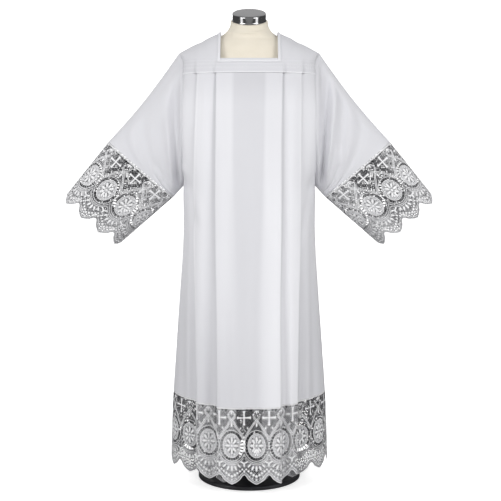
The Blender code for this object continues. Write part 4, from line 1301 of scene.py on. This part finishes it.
def stitches_along(line, normals):
    """Small stitches that stand on a line of points on the cloth."""
    length = lengths_along(line)
    middles = np.arange(STITCH_STEP, length[-1], STITCH_STEP)
    start, end = (points_at(line, length, middles + way * STITCH_LENGTH / 2) for way in (-1, 1))
    up = unit(points_at(normals, length, middles))
    across = unit(np.cross(end - start, up)) * STITCH_HALF_WIDTH
    middle, lift = (start + end) / 2, up * STITCH_LIFT
    six = np.stack([start, end, middle + across, middle - across, middle + lift, middle - lift], 1)
    upper = [(0, 2, 4), (2, 1, 4), (1, 3, 4), (3, 0, 4)]
    faces = np.array([*upper, (2, 0, 5), (1, 2, 5), (3, 1, 5), (0, 3, 5)])
    return six.reshape(-1, 3), (faces + np.arange(len(six))[:, None, None] * 6).reshape(-1, 3)


def make_stitches(cloths, roll, finish):
    """The stitches of the bands, the hem, the sleeves and the neck; roll is the neck's line of them."""
    lines = []
    for cloth in cloths:
        side = cloth.side
        turn = np.linspace(0.01, math.pi - 0.01, 300)
        for rise in BAND_STITCHES:
            height = np.full_like(turn, PLEAT_TOP_Z + 2 * SEAM_GAP + rise)
            line = band_point(side, turn, height, 0.0002)
            lines.append((line, line - band_point(side, turn, height, -0.01)))
        along = np.linspace(0.004, cloth.width - 0.004, 900)
        line = cloth.point(along, cloth.lace_top(along) + HEM_STITCHES)
        out = unit(np.cross(np.gradient(line, axis=0), [0, 0, 1.0]))
        lines.append((line + out * 0.0005, out))
    for side in (-1, 1):
        angle = np.linspace(0.05, 2 * math.pi - 0.05, 400)
        line, inner = (
            sleeve_point(side, angle, np.full_like(angle, out)) for out in (ARMHOLE_STITCHES, 0.0010)
        )
        out = unit(np.cross(np.gradient(line, axis=0), line - inner))
        out = away_from([side * 0.22, 0, ARMHOLE_Z], line, out)
        lines.append((line + out * 0.0004, out))
        line = sleeve_point(side, angle, np.full_like(angle, SLEEVE_REACH - CUFF_STITCHES))
        out = unit(line - np.multiply(CUFF[0], [side, 1, 1]))
        lines.append((line + out * 0.0004, out))
    ring = closed(roll)
    lines.append((ring, unit(ring - [0, 0, 1.25])))
    return new_object("seam_stitches", *merged([stitches_along(*line) for line in lines]), finish)


# ---------------------------------------------------------------- finishes


class Finish:
    """A Principled material with its procedural nodes."""

    def __init__(self, name, colour, roughness, **values):
        self.material = bpy.data.materials.new(name)
        self.material.use_nodes = True
        self.tree = self.material.node_tree
        self.shader = self.tree.nodes["Principled BSDF"]
        self.fill(self.shader, {"Base Color": colour, "Roughness": roughness})
        self.fill(self.shader, {socket.replace("_", " "): value for socket, value in values.items()})

    def fill(self, node, sockets):
        """Gives each socket a number, a colour or another node's output."""
        for socket, value in sockets.items():
            if isinstance(value, bpy.types.NodeSocket):
                self.tree.links.new(value, node.inputs[socket])
            else:
                node.inputs[socket].default_value = (*value, 1.0) if isinstance(value, tuple) else value

    def node(self, kind, output, sockets, **settings):
        """Makes a node and returns one of its outputs."""
        made = self.tree.nodes.new("ShaderNode" + kind)
        for key, value in settings.items():
            setattr(made, key, value)
        self.fill(made, sockets)
        return made.outputs[output]

    def mix(self, factor, first, second):
        """A colour between two others, by a factor's output."""
        return self.node("Mix", "Result", {"Factor": factor, "A": first, "B": second}, data_type="RGBA")

    def math(self, operation, first, second=0.0):
        return self.node("Math", "Value", {0: first, 1: second}, operation=operation)

    def length(self, vector):
        return self.node("VectorMath", "Value", {0: vector}, operation="LENGTH")

    def ramp(self, source, start, end, top, low=0.0, kind="LINEAR"):
        """The low number at the start, growing to the top by the end."""
        sockets = {"Value": source, "From Min": start, "From Max": end, "To Min": low, "To Max": top}
        return self.node("MapRange", "Result", sockets, interpolation_type=kind)

    def noise(self, vector, scale):
        return self.node("TexNoise", "Fac", {"Vector": vector, "Scale": scale, "Detail": 3.0})

    def threads(self, vector, scale, direction):
        sockets = {"Vector": vector, "Scale": scale}
        return self.node("TexWave", "Fac", sockets, wave_type="BANDS", bands_direction=direction)

    def mask(self, name):
        return self.node("Attribute", "Fac", {}, attribute_name=name)

    def places(self, space="UV"):
        return self.node("TexCoord", space, {})

    def bump(self, height, strength, distance):
        sockets = {"Height": height, "Strength": strength, "Distance": distance}
        self.fill(self.shader, {"Normal": self.node("Bump", "Normal", sockets)})

    def colour(self, source):
        self.fill(self.shader, {"Base Color": source})


def grey(shade):
    """A shade of white cloth or lace, a little blue."""
    return shade, shade, shade + 0.03


def cloth_finish(name, shade, dense=None):
    """Plain-woven white cloth; where its density is given, its shade runs from one to the other by a mask
    that holds painted light and shade as well as density.
    """
    made = Finish(name, grey(shade), 0.85, Sheen_Weight=0.12, Sheen_Roughness=0.5)
    colour = made.mix(made.noise(made.places("Object"), 14.0), grey(shade - 0.025), grey(shade))
    made.colour(made.mix(made.mask("cover_and_painted_light"), colour, grey(dense)) if dense else colour)
    cut = made.places()
    weave = made.math("ADD", made.threads(cut, 420.0, "X"), made.threads(cut, 420.0, "Y"))
    made.bump(weave, 0.10, 0.0003)
    return made.material


def net_finish(name, thread, shade):
    """The lace's ground: a fine net, its holes painted near black as painted shade; denser in medallions
    and scallops, and lighter where it lies double, partly for the layers and partly as painted light.
    """
    made = Finish(name, thread, 0.8, Sheen_Weight=0.1, Sheen_Roughness=0.5)
    cut = made.places()
    strands = made.math("MAXIMUM", made.threads(cut, 310.0, "X"), made.threads(cut, 310.0, "Y"))
    along = made.node("SeparateXYZ", "X", {"Vector": cut})
    down = along.node.outputs["Y"]
    repeat = made.math("FRACT", made.math("MULTIPLY", along, 1 / LACE_PITCH))
    across = made.math("MULTIPLY", made.math("SUBTRACT", repeat, 0.5), LACE_PITCH / MEDALLION_HALF_WIDTH)
    below = made.math("DIVIDE", made.math("SUBTRACT", down, RING_V / 1000), MEDALLION_HALF_HEIGHT)
    away = made.length(made.node("CombineXYZ", "Vector", {"X": across, "Y": below}))
    # The mask paints the net lighter where it lies double and over parts of the cuffs, as painted light
    dense = made.math("MULTIPLY", made.mask("doubled_and_painted_light"), 0.50)
    upper_edge, scallops = made.ramp(down, 0.0056, 0.0046, 0.60), made.ramp(down, 0.160, 0.172, 0.14)
    for more in (upper_edge, scallops, made.ramp(away, 1.02, 0.97, 0.42)):
        dense = made.math("ADD", dense, more)
    least = made.math("SUBTRACT", 0.97, dense)
    strands = made.ramp(strands, least, 1.0, 1.0, kind="SMOOTHSTEP")
    made.colour(made.mix(strands, shade, thread))
    made.bump(strands, 0.25, 0.0004)
    return made.material


def thread_finish(name, colour):
    made = Finish(name, colour, 0.75, Sheen_Weight=0.1, Sheen_Roughness=0.5)
    cut = made.places()
    made.colour(made.mix(made.noise(cut, 260.0), tuple(0.93 * c for c in colour), colour))
    twist = made.math("ADD", made.threads(cut, 520.0, "DIAGONAL"), made.noise(cut, 900.0))
    made.bump(twist, 0.25, 0.0004)
    return made.material


def jersey_finish():
    """Cream jersey knit in fine upright ribs."""
    made = Finish("cream_jersey", (0.80, 0.74, 0.62), 0.9, Sheen_Weight=0.2, Sheen_Roughness=0.6)
    cut, mottle = made.places(), made.noise(made.places("Object"), 30.0)
    made.colour(made.mix(mottle, (0.76, 0.70, 0.58), (0.83, 0.77, 0.66)))
    made.bump(made.math("ADD", made.threads(cut, 160.0, "X"), made.noise(cut, 700.0)), 0.35, 0.0008)
    return made.material


def metal_finish(name, colour, roughness, metallic, grain):
    made = Finish(name, colour, roughness, Metallic=metallic)
    place = made.places("Object")
    made.colour(made.mix(made.noise(place, 40.0), tuple(0.94 * c for c in colour), colour))
    made.bump(made.noise(place, grain), 0.03, 0.0004)
    return made.material


# ---------------------------------------------------------------- stage, light and camera


def studio_paper(name, points, shine, near=None):
    """White paper that shines; where near is given, it shines that much within 1 m of the robe."""
    made = Finish(name, (0.93, 0.93, 0.93), 0.9, Emission_Color=(1, 1, 1), Emission_Strength=shine)
    place = made.places("Object")
    if near:
        glow = made.ramp(made.length(place), 1.0, 4.0, shine, near)
        made.fill(made.shader, {"Emission Strength": glow})
    made.colour(made.mix(made.noise(place, 3.0), (0.925, 0.925, 0.925), (0.935, 0.935, 0.935)))
    faces = grid_faces(2, len(points) // 2, closed=len(points) > 4)
    paper = new_object(name, points, faces, made.material)
    paper.visible_diffuse = paper.visible_glossy = False
    return paper


def studio():
    """A pale floor and a white wall all round; neither throws its light back on the robe."""
    floor = [(x, y, -0.0004) for y in (-12, 12) for x in (-12, 12)]
    floor = studio_paper("studio_floor", floor, 0.85, 0.52)
    wall = [(12 * math.cos(a), 12 * math.sin(a), z) for z in (-4, 12) for a in full_circle(48)]
    wall = studio_paper("studio_wall", wall, 1.0)
    wall.visible_shadow = False
    return floor, wall


# Each sun's azimuth, which is 0 on the camera's side and grows to the left, its elevation, strength
# and spread in degrees, and whether it shows in reflections
SUNS = (
    ("key_light", 5, 18, 0.72, 12, False),
    ("fill_light", 0, 23, 0.40, 120, True),
    ("top_light", 10, 66, 0.14, 40, False),
    ("left_side_light", 88, 14, 0.26, 50, False),
    ("right_side_light", -88, 14, 0.26, 50, False),
    ("back_light", 175, 40, 0.46, 80, True),
    ("back_key_light", 184, 16, 0.62, 12, False),
)
# Each softbox's place, power and size, and which kind of light it leaves out
SOFTBOXES = (
    ("left_softbox", (-2.1, -2.4, 1.9), 44.0, (1.6, 1.6), None),
    ("right_softbox", (2.1, -2.4, 1.9), 45.0, (1.6, 1.6), None),
    ("back_left_softbox", (-2.1, 2.5, 1.9), 44.0, (1.6, 1.6), "visible_glossy"),
    ("back_right_softbox", (2.1, 2.5, 1.9), 36.0, (1.6, 1.6), "visible_glossy"),
    ("back_left_gleam", (-0.9, 3.0, 1.9), 10.0, (0.5, 1.6), "visible_diffuse"),
    ("back_right_gleam", (0.9, 3.0, 1.9), 10.0, (0.5, 1.6), "visible_diffuse"),
    ("left_strip", (-2.2, -1.4, 0.02), 6.5, (0.8, 2.0), None),
    ("right_strip", (2.2, -1.4, 0.02), 6.5, (0.8, 2.0), None),
)


AIR_STRENGTH = 0.08
CAMERA_PLACE, CAMERA_TILT = (0.004, -3.188, 1.013), 85
LENS, SENSOR_WIDTH = 71.856, 36.0


def sun(name, azimuth, elevation, strength, spread, reflected):
    light = bpy.data.lights.new(name, "SUN")
    light.energy, light.angle = strength, math.radians(spread)
    obj = placed(name, light)
    obj.rotation_euler = (math.radians(90 - elevation), 0, math.radians(-azimuth))
    obj.visible_glossy = reflected


def softbox(name, place, power, size, left_out):
    lamp = bpy.data.lights.new(name, "AREA")
    lamp.energy, lamp.shape = power, "RECTANGLE"
    lamp.size, lamp.size_y = size
    obj = placed(name, lamp)
    obj.location = place
    obj.rotation_euler = (Vector(place) - Vector((0, 0, 1.0))).to_track_quat("Z", "Y").to_euler()
    obj.visible_camera = False
    if left_out:
        setattr(obj, left_out, False)


def light_and_camera():
    scene = bpy.context.scene
    scene.world = bpy.data.worlds.new("studio_air")
    scene.world.use_nodes = True
    background = scene.world.node_tree.nodes["Background"]
    background.inputs["Color"].default_value = (1.0, 1.0, 1.0, 1.0)
    background.inputs["Strength"].default_value = AIR_STRENGTH
    for row in SUNS:
        sun(*row)
    for row in SOFTBOXES:
        softbox(*row)
    camera = bpy.data.cameras.new("camera")
    camera.lens, camera.sensor_width = LENS, SENSOR_WIDTH
    scene.camera = placed("camera", camera)
    scene.camera.location = CAMERA_PLACE
    scene.camera.rotation_euler = (math.radians(CAMERA_TILT), 0, 0)
    scene.view_settings.view_transform = "Standard"


def plain(box):
    return [[round(float(value), 5) for value in corner] for corner in box]


def main():
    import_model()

    white = cloth_finish("white_cloth", 0.68)
    # Its cover mask paints light and shade onto the pleated cloth and the bands
    pleated = cloth_finish("white_pleated_cloth_with_painted_light", 0.60, 0.825)
    # The net's near-black second colour is painted shade for what shows through its holes
    ground = net_finish("white_lace", (0.78, 0.78, 0.80), (0.03, 0.03, 0.034))
    cord = thread_finish("lace_cord", (0.86, 0.86, 0.87))
    thread = thread_finish("white_thread", (0.88, 0.88, 0.90))
    jersey = jersey_finish()
    chrome = metal_finish("polished_metal", (0.62, 0.62, 0.63), 0.12, 1.0, 60.0)
    black = metal_finish("black_metal", (0.03, 0.03, 0.034), 0.42, 0.3, 900.0)

    def stand_for(obj, slot, *nodes):
        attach(obj, "root")
        if nodes:
            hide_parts(*nodes)
        return obj

    def hang_lace(node, holder, lace, cords, width, area):
        stand_for(lace, "white_lace", node)
        stand_for(cords, "white_lace")

    stand_for(make_form(jersey), "cream_jersey", "form_torso")
    stand_for(make_cap(chrome), "polished_metal", "neck_cap")
    for obj, node in zip(make_stand(black), ("stand_base", "stand_socket", "stand_pole")):
        stand_for(obj, "black_metal", node)

    cloths = []
    for side, label in ((-1, "front"), (1, "back")):
        cloth = Cloth(side)
        cloths.append(cloth)
        panel = stand_for(make_panel(label, cloth, pleated), "white_cloth", f"{label}_panel")
        band = stand_for(make_band(label, side, pleated), "white_cloth", f"{label}_band")
        hang_lace(f"hem_lace_{label}", f"{label}_panel", *make_hem_lace(label, cloth, ground, cord))
    yoke = stand_for(make_yoke(white), "white_cloth", "shoulder_yoke")
    roll, roll_line = make_binding(pleated)
    stand_for(roll, "white_cloth", "neck_binding")
    for side, label in ((-1, "right"), (1, "left")):
        sleeve = stand_for(make_sleeve(label, side, white), "white_cloth", f"sleeve_{label}")
        for face, half in ((1, "front"), (-1, "back")):
            made = make_cuff_lace(label, side, face, ground, cord)
            hang_lace(f"cuff_lace_{label}_{half}", f"sleeve_{label}", *made)
    stand_for(make_stitches(cloths, roll_line, thread), "white_cloth")
    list(studio())
    light_and_camera()


main()
